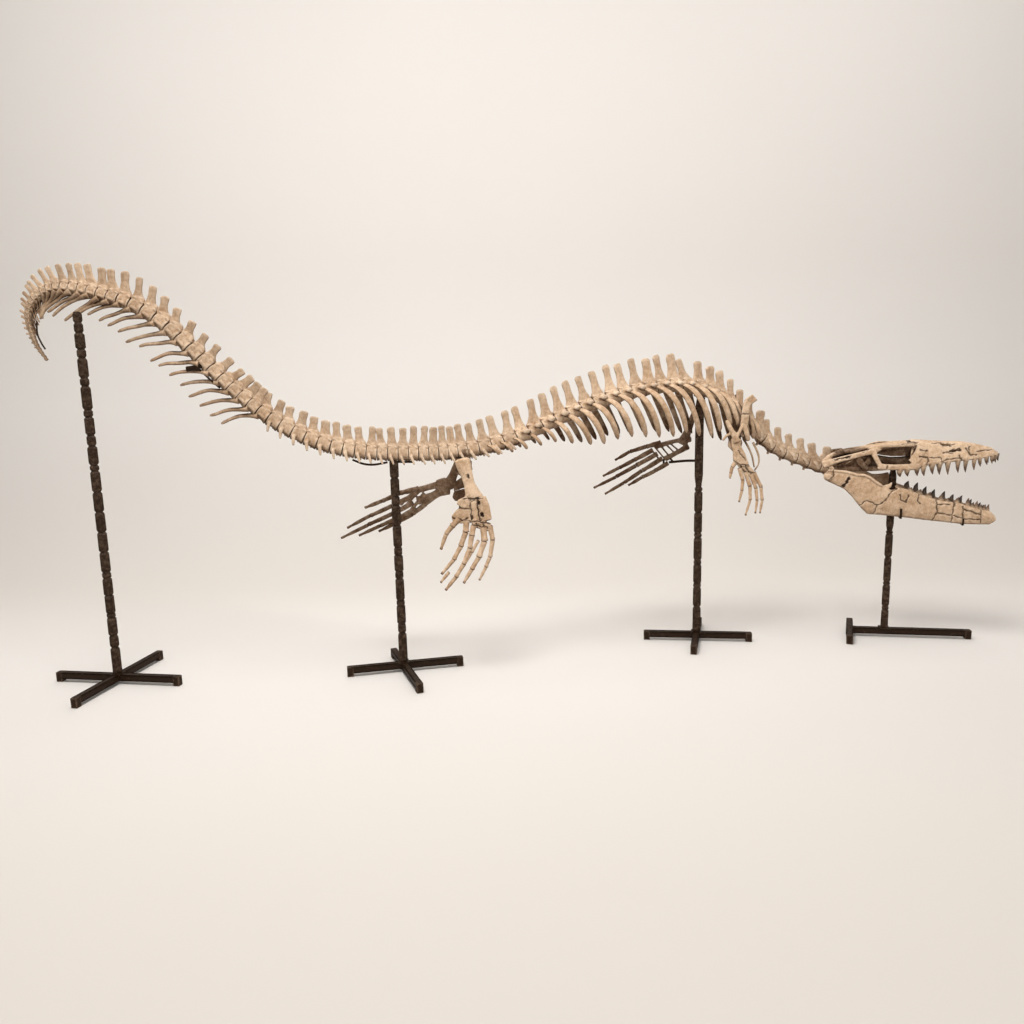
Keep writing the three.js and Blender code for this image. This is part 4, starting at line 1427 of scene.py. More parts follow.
    def _blade(self, chance: Random) -> Piece:
        """Makes one blade of the back, flared at its foot and blunt on top.

        Args:
            chance: Source of its small differences.

        Returns:
            The melted shape, with z up and x along the back.
        """
        wide, thick, tall = self.blade_width / 2, self.blade_thickness / 2, self.blade_height
        slope = chance.uniform(-0.05, 0.05)
        swing = chance.uniform(-0.16, 0.16)
        levels = [(0.0, 1.62, 1.7), (0.08, 1.62, 1.68), (0.17, 1.52, 1.5), (0.26, 1.30, 1.25),
                  (0.36, 1.10, 1.02), (0.47, 0.99, 0.92),
                  (0.62, 0.93, 0.85), (0.80, 0.99, 0.92), (0.90, 0.99, 0.95), (0.96, 0.88, 0.84),
                  (1.0, 0.58, 0.62)]
        draft = Draft()
        rings = []
        for z, w, t in levels:
            w *= 1 + chance.uniform(-0.07, 0.07)
            section = soft_box(w * wide, t * thick, 16)
            rings.append([
                Vector((a + swing * z * wide, b, z * tall + slope * a * steady(z, 0.7, 0.95) * 2.5)) for a,
                b in section
            ])
        draft.rings(rings)
        piece = draft.make("blade")
        Melt(voxel=0.0022, smooth=3, lumps=0.0026, lump_size=0.02, keep=0.4).run(piece)
        places = coordinates(piece.data)
        top = np.clip((places[:, 2] - 0.93 * tall) / (0.07 * tall), 0, 1)
        mark_relief(piece.data, 0.30 * top)
        return piece

    def make_bodies(self) -> Shapes:
        """Makes the bodies of every kind, a few of each.

        Returns:
            The collection of bodies.
        """
        shapes = []
        for kind in VertebraKind:
            shapes += [self._body(kind, Random(31 * kind.value + i)) for i in range(self.variants)]
        return shape_collection("vertebra_bodies", shapes)

    def make_blades(self) -> Shapes:
        """Makes the blades."""
        return shape_collection("blades", [self._blade(Random(70 + i)) for i in range(self.blades)])


@dataclass
class Column:
    """The whole row of vertebrae with their blades, in the lengths that the solids have."""

    shop: Workshop
    kit: VertebraKit = field(default_factory=VertebraKit)
    chance: Random = field(default_factory=lambda: Random(5))

    def _kind(self, vertebra: Vertebra) -> VertebraKind:
        """Sort of vertebra at a place.

        Args:
            vertebra: The vertebra.

        Returns:
            Its sort.
        """
        if vertebra.middle < NECK_END:
            return VertebraKind.NECK
        if vertebra.middle < LOIN_START:
            return VertebraKind.TRUNK
        if vertebra.middle < CHEVRON_START:
            return VertebraKind.LOIN
        return VertebraKind.REAR

    def _body_station(self, vertebra: Vertebra) -> Station:
        """Station for a vertebra's body.

        Args:
            vertebra: The vertebra.

        Returns:
            Where its body goes.
        """
        at = self.shop.spine.frame(vertebra.middle)
        scale = CENTRUM_RADIUS.at(vertebra.middle) / self.kit.radius
        size = Vector((vertebra.length / self.kit.length, scale, scale))
        kind = self._kind(vertebra)
        tint = self.chance.uniform(0.0, 0.16) + kind.shade
        return Station(at.at, at.turn(), size, kind.value + vertebra.number % self.kit.variants, tint)

    def _blade_station(self, vertebra: Vertebra) -> Station:
        """Station for a vertebra's blade.

        Args:
            vertebra: The vertebra.

        Returns:
            Where its blade goes.
        """
        at = self.shop.spine.frame(vertebra.middle)
        lean = math.radians(NEURAL_LEAN.at(vertebra.middle) + self.chance.uniform(-5.5, 5.5))
        rise = Vector((math.sin(lean), 0, math.cos(lean)))
        right = (at.right - rise * at.right.dot(rise)).normalized()
        turn = Matrix((right.cross(rise), right, rise)).transposed()
        root = 0.72 * CENTRUM_RADIUS.at(vertebra.middle)
        tall = (NEURAL_HEIGHT.at(vertebra.middle) - root) * self.chance.uniform(0.93, 1.03)
        size = Vector((
            NEURAL_WIDTH.at(vertebra.middle) / self.kit.blade_width * self.chance.uniform(0.88, 1.12),
            NEURAL_THICKNESS.at(vertebra.middle) / self.kit.blade_thickness,
            tall / self.kit.blade_height,
        ))
        tint = self.chance.uniform(0, 0.2) + self._kind(vertebra).shade
        return Station(at.at + rise * root, turn, size, vertebra.number % self.kit.blades, tint)

    def build(self) -> None:
        """Makes each length of the spine as a row of bodies and a row of blades."""
        bodies, blades = self.kit.make_bodies(), self.kit.make_blades()
        for seed, (name, (start, end, nodes)) in enumerate(SPINE_LENGTHS.items()):
            share = [v for v in self.shop.vertebrae if start <= v.middle < end]
            body_row, blade_row = StationRow(f"{name}_bodies"), StationRow(f"{name}_blades")
            for vertebra in share:
                body_row.add(self._body_station(vertebra))
                blade_row.add(self._blade_station(vertebra))
            jitter = {"turn": 0.02, "size": 0.015, "seed": seed + 3}
            claim(body_row.build(self.shop.stations, bodies, self.shop.bone, **jitter), "bone", *nodes)
            claim(blade_row.build(self.shop.stations, blades, self.shop.bone, turn=0.03, seed=seed), "bone",
                  *nodes)


@dataclass
class RibCage:
    """Ribs of both sides, the short ribs of the neck and the pegs below it."""

    NECK_RIBS = (
        ((0.962, 0.150, 0.965), (0.985, 0.145, 0.926), (1.002, 0.140, 0.885), (1.014, 0.140, 0.834)),
        ((1.008, 0.150, 0.945), (1.031, 0.145, 0.892), (1.033, 0.140, 0.850), (1.015, 0.140, 0.818)),
    )

    shop: Workshop
    girth: Taper = Taper((
        (0.0, 0.0125), (0.1, 0.0146), (0.3, 0.0148), (0.6, 0.0136), (0.85, 0.0124), (0.93, 0.0112),
        (0.975, 0.0085), (1.0, 0.0030),
    ))
    steps: int = 22
    chance: Random = field(default_factory=lambda: Random(9))

    def _rib(self, vertebra: Vertebra, side: Side) -> BonePath:
        """Path of one rib: out from the vertebra, then down and forward.

        Args:
            vertebra: The vertebra that carries it.
            side: Side of the animal.

        Returns:
            The path.
        """
        at = self.shop.spine.frame(vertebra.middle)
        radius = CENTRUM_RADIUS.at(vertebra.middle)
        reach = RIB_REACH.at(vertebra.middle) * self.chance.uniform(0.97, 1.03)
        sweep = RIB_SWEEP.at(vertebra.middle) * self.chance.uniform(0.94, 1.06)
        if side is Side.LEFT and vertebra.middle < 0.84:
            reach *= 1.24
        spread = RIB_SPREAD.at(vertebra.middle)
        out = Vector((at.right.x, at.right.y, 0)).normalized() * -side.value
        forward = Vector((-at.right.y, at.right.x, 0)).normalized()
        root = at.at + out * 0.45 * radius + at.up * 0.26 * radius - at.tailward * 0.24 * vertebra.length

        def place(o: float, f: float, d: float) -> Vector:
            """Place by shares of the rib's spread, sweep and reach."""
            return root + out * (o * spread) + forward * (f * sweep) - UP * (d * reach)

        corners = [root, place(0.85, 0.3, -0.04), place(1.04, 0.76, 0.42), place(0.70, 1.06, 1)]
        points, girths = [], []
        small = 0.62 + 0.38 * steady(reach, 0.05, 0.13)
        for i in range(self.steps + 1):
            t = i / self.steps
            weights = ((1 - t) ** 3, 3 * t * (1 - t) ** 2, 3 * t * t * (1 - t), t**3)
            points.append(sum((corner * w for corner, w in zip(corners, weights)), Vector()))
            girths.append(self.girth.at(t) * small)
        # The far ribs are darkened: painted shade; the near ones vary in tone.
        tint = self.chance.uniform(0.0, 0.10) if side is Side.RIGHT else self.chance.uniform(0.78, 0.93)
        return BonePath(points, girths, forward, tint, 0.3)

    def build(self) -> None:
        """Makes the ribs of each side and the small bones of the neck."""
        for side in Side:
            bundle = PathBundle(f"ribs_{side.name.lower()}")
            for vertebra in self.shop.vertebrae:
                if NECK_END <= vertebra.middle < RIBS_END:
                    bundle.add(self._rib(vertebra, side))
            for path in self.NECK_RIBS if side is Side.RIGHT else ():
                line = smooth_path([Vector(p) for p in path], 6)
                girths = [0.0052 - 0.0022 * i / len(line) for i in range(len(line))]
                bundle.add(BonePath(line, girths, FORWARD, 0.35))
            piece = bundle.build(self.shop.sweeps, self.shop.bone, sides=12, flatness=0.56, lumps=0.0030,
                                 seed=4)
            claim(piece, "bone", f"torso_{side.name.lower()}")
        pegs = PathBundle("neck_pegs")
        for vertebra in [v for v in self.shop.vertebrae if v.middle < NECK_END][1:-1]:
            at = self.shop.spine.frame(vertebra.start + vertebra.length)
            radius = CENTRUM_RADIUS.at(vertebra.middle)
            line = [at.at - at.up * (k * radius) + at.tailward * 0.002 for k in (0.5, 0.9, 1.28)]
            pegs.add(BonePath(smooth_path(line, 3), np.linspace(0.0085, 0.0055, 7), FORWARD, 0.6))
        claim(pegs.build(self.shop.sweeps, self.shop.bone, sides=10, flatness=0.8, lumps=0.002), "bone",
              "neck")


@dataclass
class Chevrons:
    """Slender bones that hang below the tail and sweep back."""

    shop: Workshop
    steps: int = 14
    chance: Random = field(default_factory=lambda: Random(17))

    def _chevron(self, vertebra: Vertebra) -> list[BonePath]:
        """Paths of one chevron: its near arm with the shaft, and the far arm that joins it.

        Args:
            vertebra: The vertebra that carries it.

        Returns:
            The two paths.
        """
        at = self.shop.spine.frame(vertebra.middle + 0.2 * vertebra.length)
        radius = CENTRUM_RADIUS.at(vertebra.middle)
        droop = math.radians(CHEVRON_DROOP.at(vertebra.middle) + self.chance.uniform(-4, 4))
        length = CHEVRON_LENGTH.at(vertebra.middle) * self.chance.uniform(0.92, 1.02)
        back = Vector((-math.cos(droop), 0, -math.sin(droop)))
        above = Vector((-math.sin(droop), 0, math.cos(droop)))
        root = at.at - at.up * (0.42 * radius)
        slim = min(max(length / 0.150, 0.5), 1.0)
        arch, wave = self.chance.uniform(0.12, 0.34), self.chance.uniform(-0.0022, 0.0022)
        tint = self.chance.uniform(0.0, 0.3)
        found = []
        for side, far in ((0.74, 1.0), (-0.74, 0.34)):
            points, girths = [], []
            for i in range(self.steps + 1):
                s = far * i / self.steps
                apart = side * radius * (1 - steady(s, 0.02, 0.36))
                rise = arch * s * (1 - s) * length + wave * math.sin(9 * s)
                points.append(root + back * (s * length) + above * rise + at.right * apart)
                girth = (0.0094 - 0.0034 * s + 0.0040 * math.exp(-12 * s)) * slim
                girths.append(girth * (1 - 0.35 * steady(s, 0.95, 1)))
            found.append(BonePath(points, girths, above, tint, 0.35))
        return found

    def build(self) -> None:
        """Makes the chevrons of each length of the tail."""
        for name, (start, end, nodes) in SPINE_LENGTHS.items():
            bundle = PathBundle(f"{name}_chevrons")
            for vertebra in self.shop.vertebrae:
                if start <= vertebra.middle < end and CHEVRON_START < vertebra.middle < CHEVRON_END:
                    for path in self._chevron(vertebra):
                        bundle.add(path)
            if bundle.paths:
                piece = bundle.build(self.shop.sweeps, self.shop.bone, sides=10, flatness=0.8, lumps=0.0028,
                                     seed=6)
                claim(piece, "bone", *nodes)


@dataclass(frozen=True)
class LimbFrame:
    """Frame of a limb: aft toward the tail, down, and out from the animal's middle, in millimetres."""

    origin: Vector
    side: Side
    turn: float = 0.0

    def point(self, aft: float, down: float, out: float) -> Vector:
        """Place in the scene of a place on the limb."""
        local = Vector((-aft, self.side.value * out, -down)) / 1000
        return self.origin + Matrix.Rotation(self.turn, 3, "Z") @ local

    def outward(self) -> Vector:
        """Direction out from the animal's middle."""
        return Matrix.Rotation(self.turn, 3, "Z") @ Vector((0, self.side.value, 0))


@dataclass(frozen=True)
class LongBone:
    """Bone through (aft, down, out) places, with a half width and half depth at each, in millimetres."""

    places: tuple[Triple, ...]
    halves: Line


@dataclass(frozen=True)
class FlatBone:
    """Flat bone from its (aft, down) outline, in millimetres."""

    outline: Line
    out: float
    thickness: float


@dataclass(frozen=True)
class Digit:
    """Row of phalanges through (aft, down) joints, with its widths at both ends, in millimetres."""

    joints: Line
    widths: Pair
    out: Pair


@dataclass
class PhalanxKit:
    """Finger bones that the digits pick from, with x along the finger."""

    length: float = 0.050
    width: float = 0.020
    variants: int = 3

    def _phalanx(self, chance: Random, tip: bool, waist: float) -> Piece:
        """Makes one finger bone, wide at its joints.

        Args:
            chance: Source of its small differences.
            tip: Whether it is the last of its finger.
            waist: Width of its middle against its ends.

        Returns:
            The shape.
        """
        half, wide = self.length / 2, self.width / 2
        waist *= chance.uniform(0.94, 1.06)
        end = 0.72 if tip else chance.uniform(0.92, 1.04)
        profile = [(-1.0, 0.80), (-0.93, 1.0), (-0.70, 0.92), (-0.30, waist + 0.04), (0.15, waist),
                   (0.62, 0.84 * end),
                   (0.90, end), (1.0, 0.78 * end)]
        bend = chance.uniform(-0.08, 0.08)
        draft = Draft()
        rings = []
        for x, k in profile:
            section = oval(k * wide, 0.74 * k * wide, 12)
            rings.append([Vector((x * half, a + bend * wide * (1 - x * x), b)) for a, b in section])
        draft.rings(rings)
        piece = draft.make("phalanx")
        apply_modifiers(piece)
        piece.data.shade_smooth()
        along = coordinates(piece.data)[:, 0] / half
        joint = np.clip((np.abs(along) - 0.955) / 0.04, 0, 1)
        ends = 0.35 * np.clip((np.abs(along) - 0.8) / 0.2, 0, 1)
        stain = np.clip((along - 0.72) / 0.12, 0, 1) * 0.75 if tip else ends
        set_values(piece.data, "seam", joint)
        set_values(piece.data, "stain", stain)
        return piece

    def make(self) -> Shapes:
        """Makes the middle bones first and then the tips, of waisted and then of straight bones.

        Returns:
            The collection of finger bones.
        """
        shapes = []
        for waist in (0.85, 0.93):
            shapes += [self._phalanx(Random(40 + i), False, waist) for i in range(self.variants)]
            shapes += [self._phalanx(Random(50 + i), True, waist) for i in range(self.variants)]
        return shape_collection("phalanges", shapes)


@dataclass
class Limb:
    """One girdle or flipper: its melted bones, the cracks between them and its digits."""

    name: str
    frame: LimbFrame
    long_bones: tuple[LongBone, ...] = ()
    flat_bones: tuple[FlatBone, ...] = ()
    digits: tuple[Digit, ...] = ()
    cracks: tuple[Line, ...] = ()
    holes: Line = ()
    # Darkening toward brown; on the far side's limbs it is painted shade.
    tint: float = 0.0
    voxel: float = 0.0022
    lumps: float = 0.0030

    def _bones(self, shop: Workshop) -> Piece:
        """Makes the long and flat bones in one piece, with carved cracks.

        Args:
            shop: The finishes.

        Returns:
            The piece.
        """
        draft = Draft()
        across = Matrix.Rotation(self.frame.turn, 3, "Z") @ FORWARD
        for bone in self.long_bones:
            places = smooth_path([self.frame.point(*p) for p in bone.places], 4)
            spots = np.linspace(0, len(bone.halves) - 1, len(places))
            order = range(len(bone.halves))
            wide = np.interp(spots, order, [h[0] for h in bone.halves]) / 1000
            deep = np.interp(spots, order, [h[1] for h in bone.halves]) / 1000
            first, last = places[0], places[-1]
            flat = across if abs((last - first).normalized().dot(across)) < 0.8 else UP
            draft.bar(places, list(zip(wide, deep)), flat, 14)
        for bone in self.flat_bones:
            outline = [self.frame.point(aft, down, bone.out) for aft, down in bone.outline]
            draft.plate(outline, self.frame.outward() * (bone.thickness / 1000))
        piece = draft.make(self.name)
        Melt(self.voxel, 7, self.lumps, 0.022).run(piece)
        lines = []
        # The pits are deep holes, near black as painted shade inside them; the cracks are dark joints.
        pits = [((aft, down - 3), (aft, down + 3)) for aft, down in self.holes]
        for marks, width, depth in ((self.cracks, 0.0042, 0.0045), (pits, 0.0078, 0.010)):
            for mark in marks:
                spots = [self.frame.point(aft, down, 0) for aft, down in mark]
                lines.append(Crack(tuple((p.x, p.z) for p in spots), width, depth))
        seam = carve(piece.data, lines, self.frame.side.value)
        # Painted shade in hollows; ridges marked to be painted paler.
        mark_relief(piece.data, np.zeros(len(seam)), rounds=10, scale=0.0036)
        set_values(piece.data, "seam", np.clip(1.3 * seam - 0.15, 0, 1))
        set_values(piece.data, "tint", np.full(len(seam), self.tint))
        paint(piece, shop.bone)
        return piece

    def _fingers(self, shop: Workshop, kit: PhalanxKit, shapes: Shapes) -> Piece:
        """Makes the digits as one row of phalanges.

        Args:
            shop: The trees and finishes.
            kit: Sizes of the nominal bones.
            shapes: The bones.

        Returns:
            The piece.
        """
        row = StationRow(self.name + "_digits")
        chance = Random(len(self.digits))
        for digit in self.digits:
            outs = np.linspace(digit.out[0], digit.out[1], len(digit.joints))
            joints = [self.frame.point(aft, down, out) for (aft, down), out in zip(digit.joints, outs)]
            widths = np.linspace(digit.widths[0], digit.widths[1], len(joints) - 1) / 1000
            for i, (start, end) in enumerate(pairwise(joints)):
                run = (end - start).normalized()
                outward = self.frame.outward()
                across = outward.cross(run).normalized()
                turn = Matrix((run, across, run.cross(across))).transposed()
                length = (end - start).length * 0.995
                size = Vector((length / kit.length, widths[i] / kit.width, widths[i] / kit.width))
                kind = chance.randrange(kit.variants) + (kit.variants if i == len(widths) - 1 else 0)
                kind += 2 * kit.variants if self.frame.side is Side.LEFT else 0
                row.add(Station((start + end) / 2, turn, size, kind, self.tint + chance.uniform(0, 0.12)))
        return row.build(shop.stations, shapes, shop.bone, turn=0.02, seed=11)

    def build(self, shop: Workshop, kit: PhalanxKit, shapes: Shapes) -> None:
        """Makes the limb, in the place of the solid that has its name.

        Args:
            shop: The trees and finishes.
            kit: Sizes of the nominal finger bones.
            shapes: The finger bones.
        """
        claim(self._bones(shop), "bone", self.name)
        if self.digits:
            claim(self._fingers(shop, kit, shapes), "bone", self.name)


SHOULDER_PLACE = Vector((0.919, 0.236, 0.973))
HIP_PLACE = Vector((-0.2673, -0.0302, 0.9340))
HIP_DISTANCE = 1.862
# Darkening of the far side's bones: painted shade.
FAR_SIDE_SHADE = 0.88
# The near flippers hang down. The far ones are held out to the rear.
FLIPPERS = (
    Limb(
        "fore_flipper_right", LimbFrame(SHOULDER_PLACE, Side.RIGHT),
        (
            LongBone(((-34, -60, 118), (-16, -27, 124), (2, 6, 126)), ((9, 7), (9, 8), (11, 9))),
            LongBone(((40, -74, 118), (26, -44, 122), (7, -8, 126), (-4, 20, 126)),
                     ((10, 8), (11, 9), (14, 11), (17, 11))),
            LongBone(((20, -18, 122), (40, -8, 122), (56, 12, 120)), ((9, 8), (7, 6), (6, 5))),
            LongBone(((-35, -56, 116), (-47, -20, 118), (-58, 14, 116)), ((13, 9), (15, 10), (10, 8))),
        ),
        (
            FlatBone(((22, 6), (17, 34), (10, 68), (9, 100), (-2, 118), (-30, 130), (-62, 128), (-60, 116),
                      (-42, 69), (-22, 36), (-25, 6)), 121, 16),
            FlatBone(((6, 106), (-16, 130), (-26, 152), (-62, 172), (-98, 212), (-114, 204), (-84, 150),
                      (-60, 122), (-28, 112)), 118, 13),
        ),
        (
            Digit(((-4, 112), (12, 134), (18, 160), (22, 184)), (22, 14), (118, 126)),
            Digit(((-22, 138), (-37, 193), (-33, 240), (-20, 292)), (21, 14), (119, 130)),
            Digit(((-48, 156), (-70, 221), (-71, 284), (-49, 353)), (21, 14), (119, 133)),
            Digit(((-72, 166), (-97, 231), (-102, 286), (-94, 345)), (20, 13), (119, 133)),
            Digit(((-86, 158), (-120, 227), (-125, 286), (-116, 345)), (20, 13), (120, 131)),
        ),
        (
            ((12, 104), (-20, 122), (-62, 126)), ((-10, 57), (-27, 80), (-45, 104)), ((-24, 130), (-64, 184)),
            ((-44, 128), (-90, 194)), ((-14, 140), (-60, 158), (-96, 166)),
        ),
    ),
    Limb(
        "fore_flipper_left", LimbFrame(SHOULDER_PLACE, Side.LEFT),
        (
            LongBone(((118, -112, 126), (138, -74, 128), (152, -30, 130), (166, 6, 132), (184, 46, 133)),
                     ((16, 11), (15, 11), (17, 11), (21, 12), (27, 13))),
            LongBone(((146, 26, 127), (220, 34, 134), (306, 58, 140)), ((15, 10), (10, 8), (13, 9))),
            LongBone(((158, 60, 127), (206, 88, 133), (262, 118, 140)), ((16, 10), (11, 8), (14, 9))),
            *(
                LongBone(((a, b, 136), ((a + c) / 2, (b + d) / 2, 138), (c, d, 139)),
                         ((5, 5), (4.2, 4.5), (5, 5)))
                for a, b, c, d in (
                    (333, 69, 290, 123), (314, 60, 262, 123), (290, 50, 238, 113), (266, 42, 213, 98),
                    (247, 40, 194, 84),
                )
            ),
        ),
        (),
        (
            Digit(((284, 40), (354, 58), (431, 80), (503, 120)), (25, 17), (140, 152)),
            Digit(((322, 74), (412, 122), (483, 158), (561, 197)), (24, 17), (140, 158)),
            Digit(((300, 92), (402, 148), (498, 201), (605, 255)), (24, 17), (139, 160)),
            Digit(((276, 116), (373, 173), (459, 231), (552, 285)), (24, 17), (139, 158)),
            Digit(((249, 138), (311, 175), (373, 206), (440, 244)), (24, 17), (138, 150)),
        ),
        tint=FAR_SIDE_SHADE,
    ),
    Limb(
        "hind_flipper_right", LimbFrame(HIP_PLACE, Side.RIGHT),
        (
            LongBone(
                ((22, 8, 68), (16, 34, 70), (4, 74, 75), (-6, 112, 80), (-16, 144, 83), (-22, 168, 84)),
                ((33, 14), (33, 15), (26, 12), (24, 11), (32, 12), (43, 14)),
            ),
            LongBone(((-54, 170, 91), (-66, 204, 93), (-76, 262, 96)), ((22, 11), (22, 9), (22, 9))),
            LongBone(((-26, 184, 92), (-30, 222, 94), (-36, 258, 96)), ((17, 9), (18, 8), (20, 8))),
            LongBone(((-4, 262, 96), (-44, 272, 96), (-88, 290, 97)), ((11, 9), (12, 9), (13, 9))),
            LongBone(((-16, 280, 96), (-56, 294, 96), (-84, 302, 97)), ((10, 9), (11, 9), (10, 8))),
        ),
        (
            FlatBone(((6, 158), (44, 176), (50, 190), (34, 204), (56, 222), (74, 244), (70, 262), (34, 276),
                      (-8, 268), (-14, 232), (-16, 190)), 93, 20),
            FlatBone(((-66, 172), (40, 178), (46, 262), (-70, 268)), 88, 12),
        ),
        (
            Digit(((40, 254), (73, 286), (99, 318), (123, 384)), (30, 19), (97, 106)),
            Digit(((10, 262), (15, 312), (38, 372), (69, 428), (124, 490)), (29, 18), (97, 114)),
            Digit(((-20, 284), (-10, 327), (0, 381), (28, 449), (63, 504), (109, 560)), (27, 18), (97, 118)),
            Digit(((-38, 348), (-8, 399), (28, 458)), (15, 12), (104, 110)),
            Digit(((-60, 292), (-64, 353), (-37, 421), (-6, 472), (31, 532)), (31, 18), (98, 114)),
            Digit(((-88, 288), (-98, 349), (-84, 422), (-66, 464), (-36, 521)), (25, 15), (97, 112)),
            Digit(((92, 482), (129, 527)), (15, 14), (112, 114)),
        ),
        (
            ((54, 206), (20, 210), (-6, 214)), ((70, 250), (30, 262), (4, 252)),
            ((-4, 170), (-12, 230), (-10, 262)), ((-38, 176), (-40, 214), (-46, 262)),
            ((2, 266), (-40, 268), (-84, 276)), ((-14, 282), (-54, 290), (-88, 300)),
            ((26, 168), (-30, 172), (-62, 168)), ((-30, 276), (-34, 300)), ((-58, 278), (-62, 306)),
        ),
        holes=((-40, 190), (-56, 240), (-4, 76), (-2, 274)),
    ),
    Limb(
        "hind_flipper_left", LimbFrame(HIP_PLACE, Side.LEFT),
        (
            LongBone(((36, 8, 66), (54, 46, 74), (74, 94, 84), (100, 142, 90)),
                     ((21, 14), (17, 12), (20, 12), (28, 14))),
            LongBone(((122, 132, 90), (160, 138, 92), (240, 158, 96)), ((20, 11), (15, 9), (14, 9))),
            LongBone(((128, 162, 90), (170, 184, 93), (236, 204, 96)), ((20, 10), (18, 8), (20, 8))),
            LongBone(((226, 160, 96), (262, 194, 96), (286, 224, 97)), ((8, 7), (7, 6), (8, 7))),
            LongBone(((250, 164, 96), (288, 196, 97), (312, 220, 98)), ((8, 7), (7, 6), (8, 7))),
            LongBone(((206, 172, 95), (240, 214, 96), (266, 244, 97)), ((9, 7), (8, 6), (9, 7))),
            LongBone(((130, 168, 90), (190, 214, 94), (236, 246, 96)), ((9, 8), (8, 7), (9, 7))),
        ),
        (
            FlatBone(((74, 128), (38, 102), (14, 118), (20, 146), (72, 160)), 78, 12),
            FlatBone(((72, 164), (20, 152), (-4, 170), (-4, 202), (68, 208), (80, 190)), 80, 12),
            FlatBone(((150, 112), (112, 102), (86, 122), (90, 178), (136, 186), (150, 150)), 88, 14),
        ),
        (
            Digit(((228, 150), (314, 168), (396, 203), (476, 232)), (26, 18), (97, 112)),
            Digit(((266, 186), (352, 226), (454, 269), (561, 323)), (24, 17), (97, 116)),
            Digit(((256, 212), (354, 262), (465, 310), (591, 371)), (24, 17), (97, 118)),
            Digit(((244, 240), (319, 277), (411, 316), (510, 359)), (24, 17), (97, 114)),
            Digit(((200, 218), (262, 264), (334, 302), (419, 341)), (24, 17), (97, 110)),
        ),
        cracks=(((74, 130), (70, 160), (20, 150)), ((44, 156), (40, 204))),
        tint=FAR_SIDE_SHADE - 0.06,
    ),
)


@dataclass
class Limbs:
    """Both girdles and all four flippers."""

    shop: Workshop

    def _shoulder(self, side: Side) -> Limb:
        """Shoulder blade of one side, and the coracoid of the near one.

        Args:
            side: Side of the animal.

        Returns:
            The plan of its bones.
        """
        blade = FlatBone(
            ((-22, 0), (-52, -4), (-56, -53), (-61, -91), (-62, -124), (-66, -142), (-96, -162), (-73, -187),
             (-47, -172), (-33, -142), (-26, -114), (-23, -76), (-18, -40)),
            112, 13,
        )
        coracoid = FlatBone(((24, -6), (-20, -12), (-34, 26), (-26, 58), (6, 66), (30, 40)), 108, 15)
        near = side is Side.RIGHT
        return Limb(
            f"shoulder_{side.name.lower()}", LimbFrame(SHOULDER_PLACE, side), (),
            (blade, coracoid) if near else (blade,),
            cracks=(((-64, -104), (-22, -100)), ((-20, -48), (-56, -44))), tint=0.05 if near else FAR_SIDE_SHADE,
        )

    def _pelvis(self, side: Side, turn: float) -> Limb:
        """Hip bones of one side.

        Args:
            side: Side of the animal.
            turn: Turn of the hips about the vertical.

        Returns:
            The plan of its bones.
        """
        return Limb(
            f"pelvis_{side.name.lower()}", LimbFrame(HIP_PLACE, side, turn),
            (
                LongBone(((4, 20, 30), (2, 40, 28), (0, 58, 20)), ((15, 9), (12, 8), (15, 8))),
                LongBone(((8, 20, 40), (26, 50, 32), (40, 76, 20)), ((15, 9), (12, 8), (17, 8))),
            ),
            (FlatBone(((-2, -34), (-6, 0), (-4, 34), (4, 42), (28, 42), (36, 34), (36, 0), (30, -34)), 24,
                      14),),
            tint=0.68 if side is Side.RIGHT else 0.8,
        )

    def build(self) -> None:
        """Makes the girdles and flippers."""
        kit = PhalanxKit()
        shapes = kit.make()
        hip = self.shop.spine.frame(HIP_DISTANCE)
        turn = math.atan2(hip.tailward.y, hip.tailward.x) - math.pi
        girdles = [self._shoulder(side) for side in Side] + [self._pelvis(side, turn) for side in Side]
        for limb in (*FLIPPERS, *girdles):
            limb.build(self.shop, kit, shapes)


SKULL_TOP = Taper((
    (-300, 48), (-265, 76), (-214, 92), (-110, 110), (0, 128), (78, 138), (180, 132), (262, 131), (323, 122),
    (392, 104), (414, 84),
))
TOOTH_EDGE = Taper(((-66, 8), (18, 6), (60, 12), (141, 29), (264, 47), (344, 55), (383, 66), (414, 72)))
SKULL_HALF = Taper(((-308, 116), (-60, 101), (60, 78), (200, 52), (330, 36), (395, 25), (414, 15)))
ROOF_HALF = Taper((
    (-264, 18), (-235, 22), (-200, 24), (-160, 32), (-125, 46), (-100, 66), (-70, 72), (-30, 66), (10, 60),
    (52, 56),
))
JAW_TOP = Taper((
    (-300, -10), (-284, 11), (-214, 4), (-158, -11), (-124, -12), (-98, -28), (-72, -51), (-42, -66),
    (-10, -84), (22, -70), (108, -101), (184, -129), (276, -143), (359, -169), (405, -180), (428, -205),
))
JAW_BOTTOM = Taper((
    (-300, -34), (-284, -47), (-214, -80), (-179, -116), (-147, -157), (-111, -196), (-60, -198), (51, -211),
    (157, -225), (290, -240), (405, -241), (428, -224),
))


@dataclass(frozen=True)
class Bar3:
    """Bar of a skull through (x, out, z) places, with its half height and half thickness at each."""

    places: tuple[Triple, ...]
    halves: Line


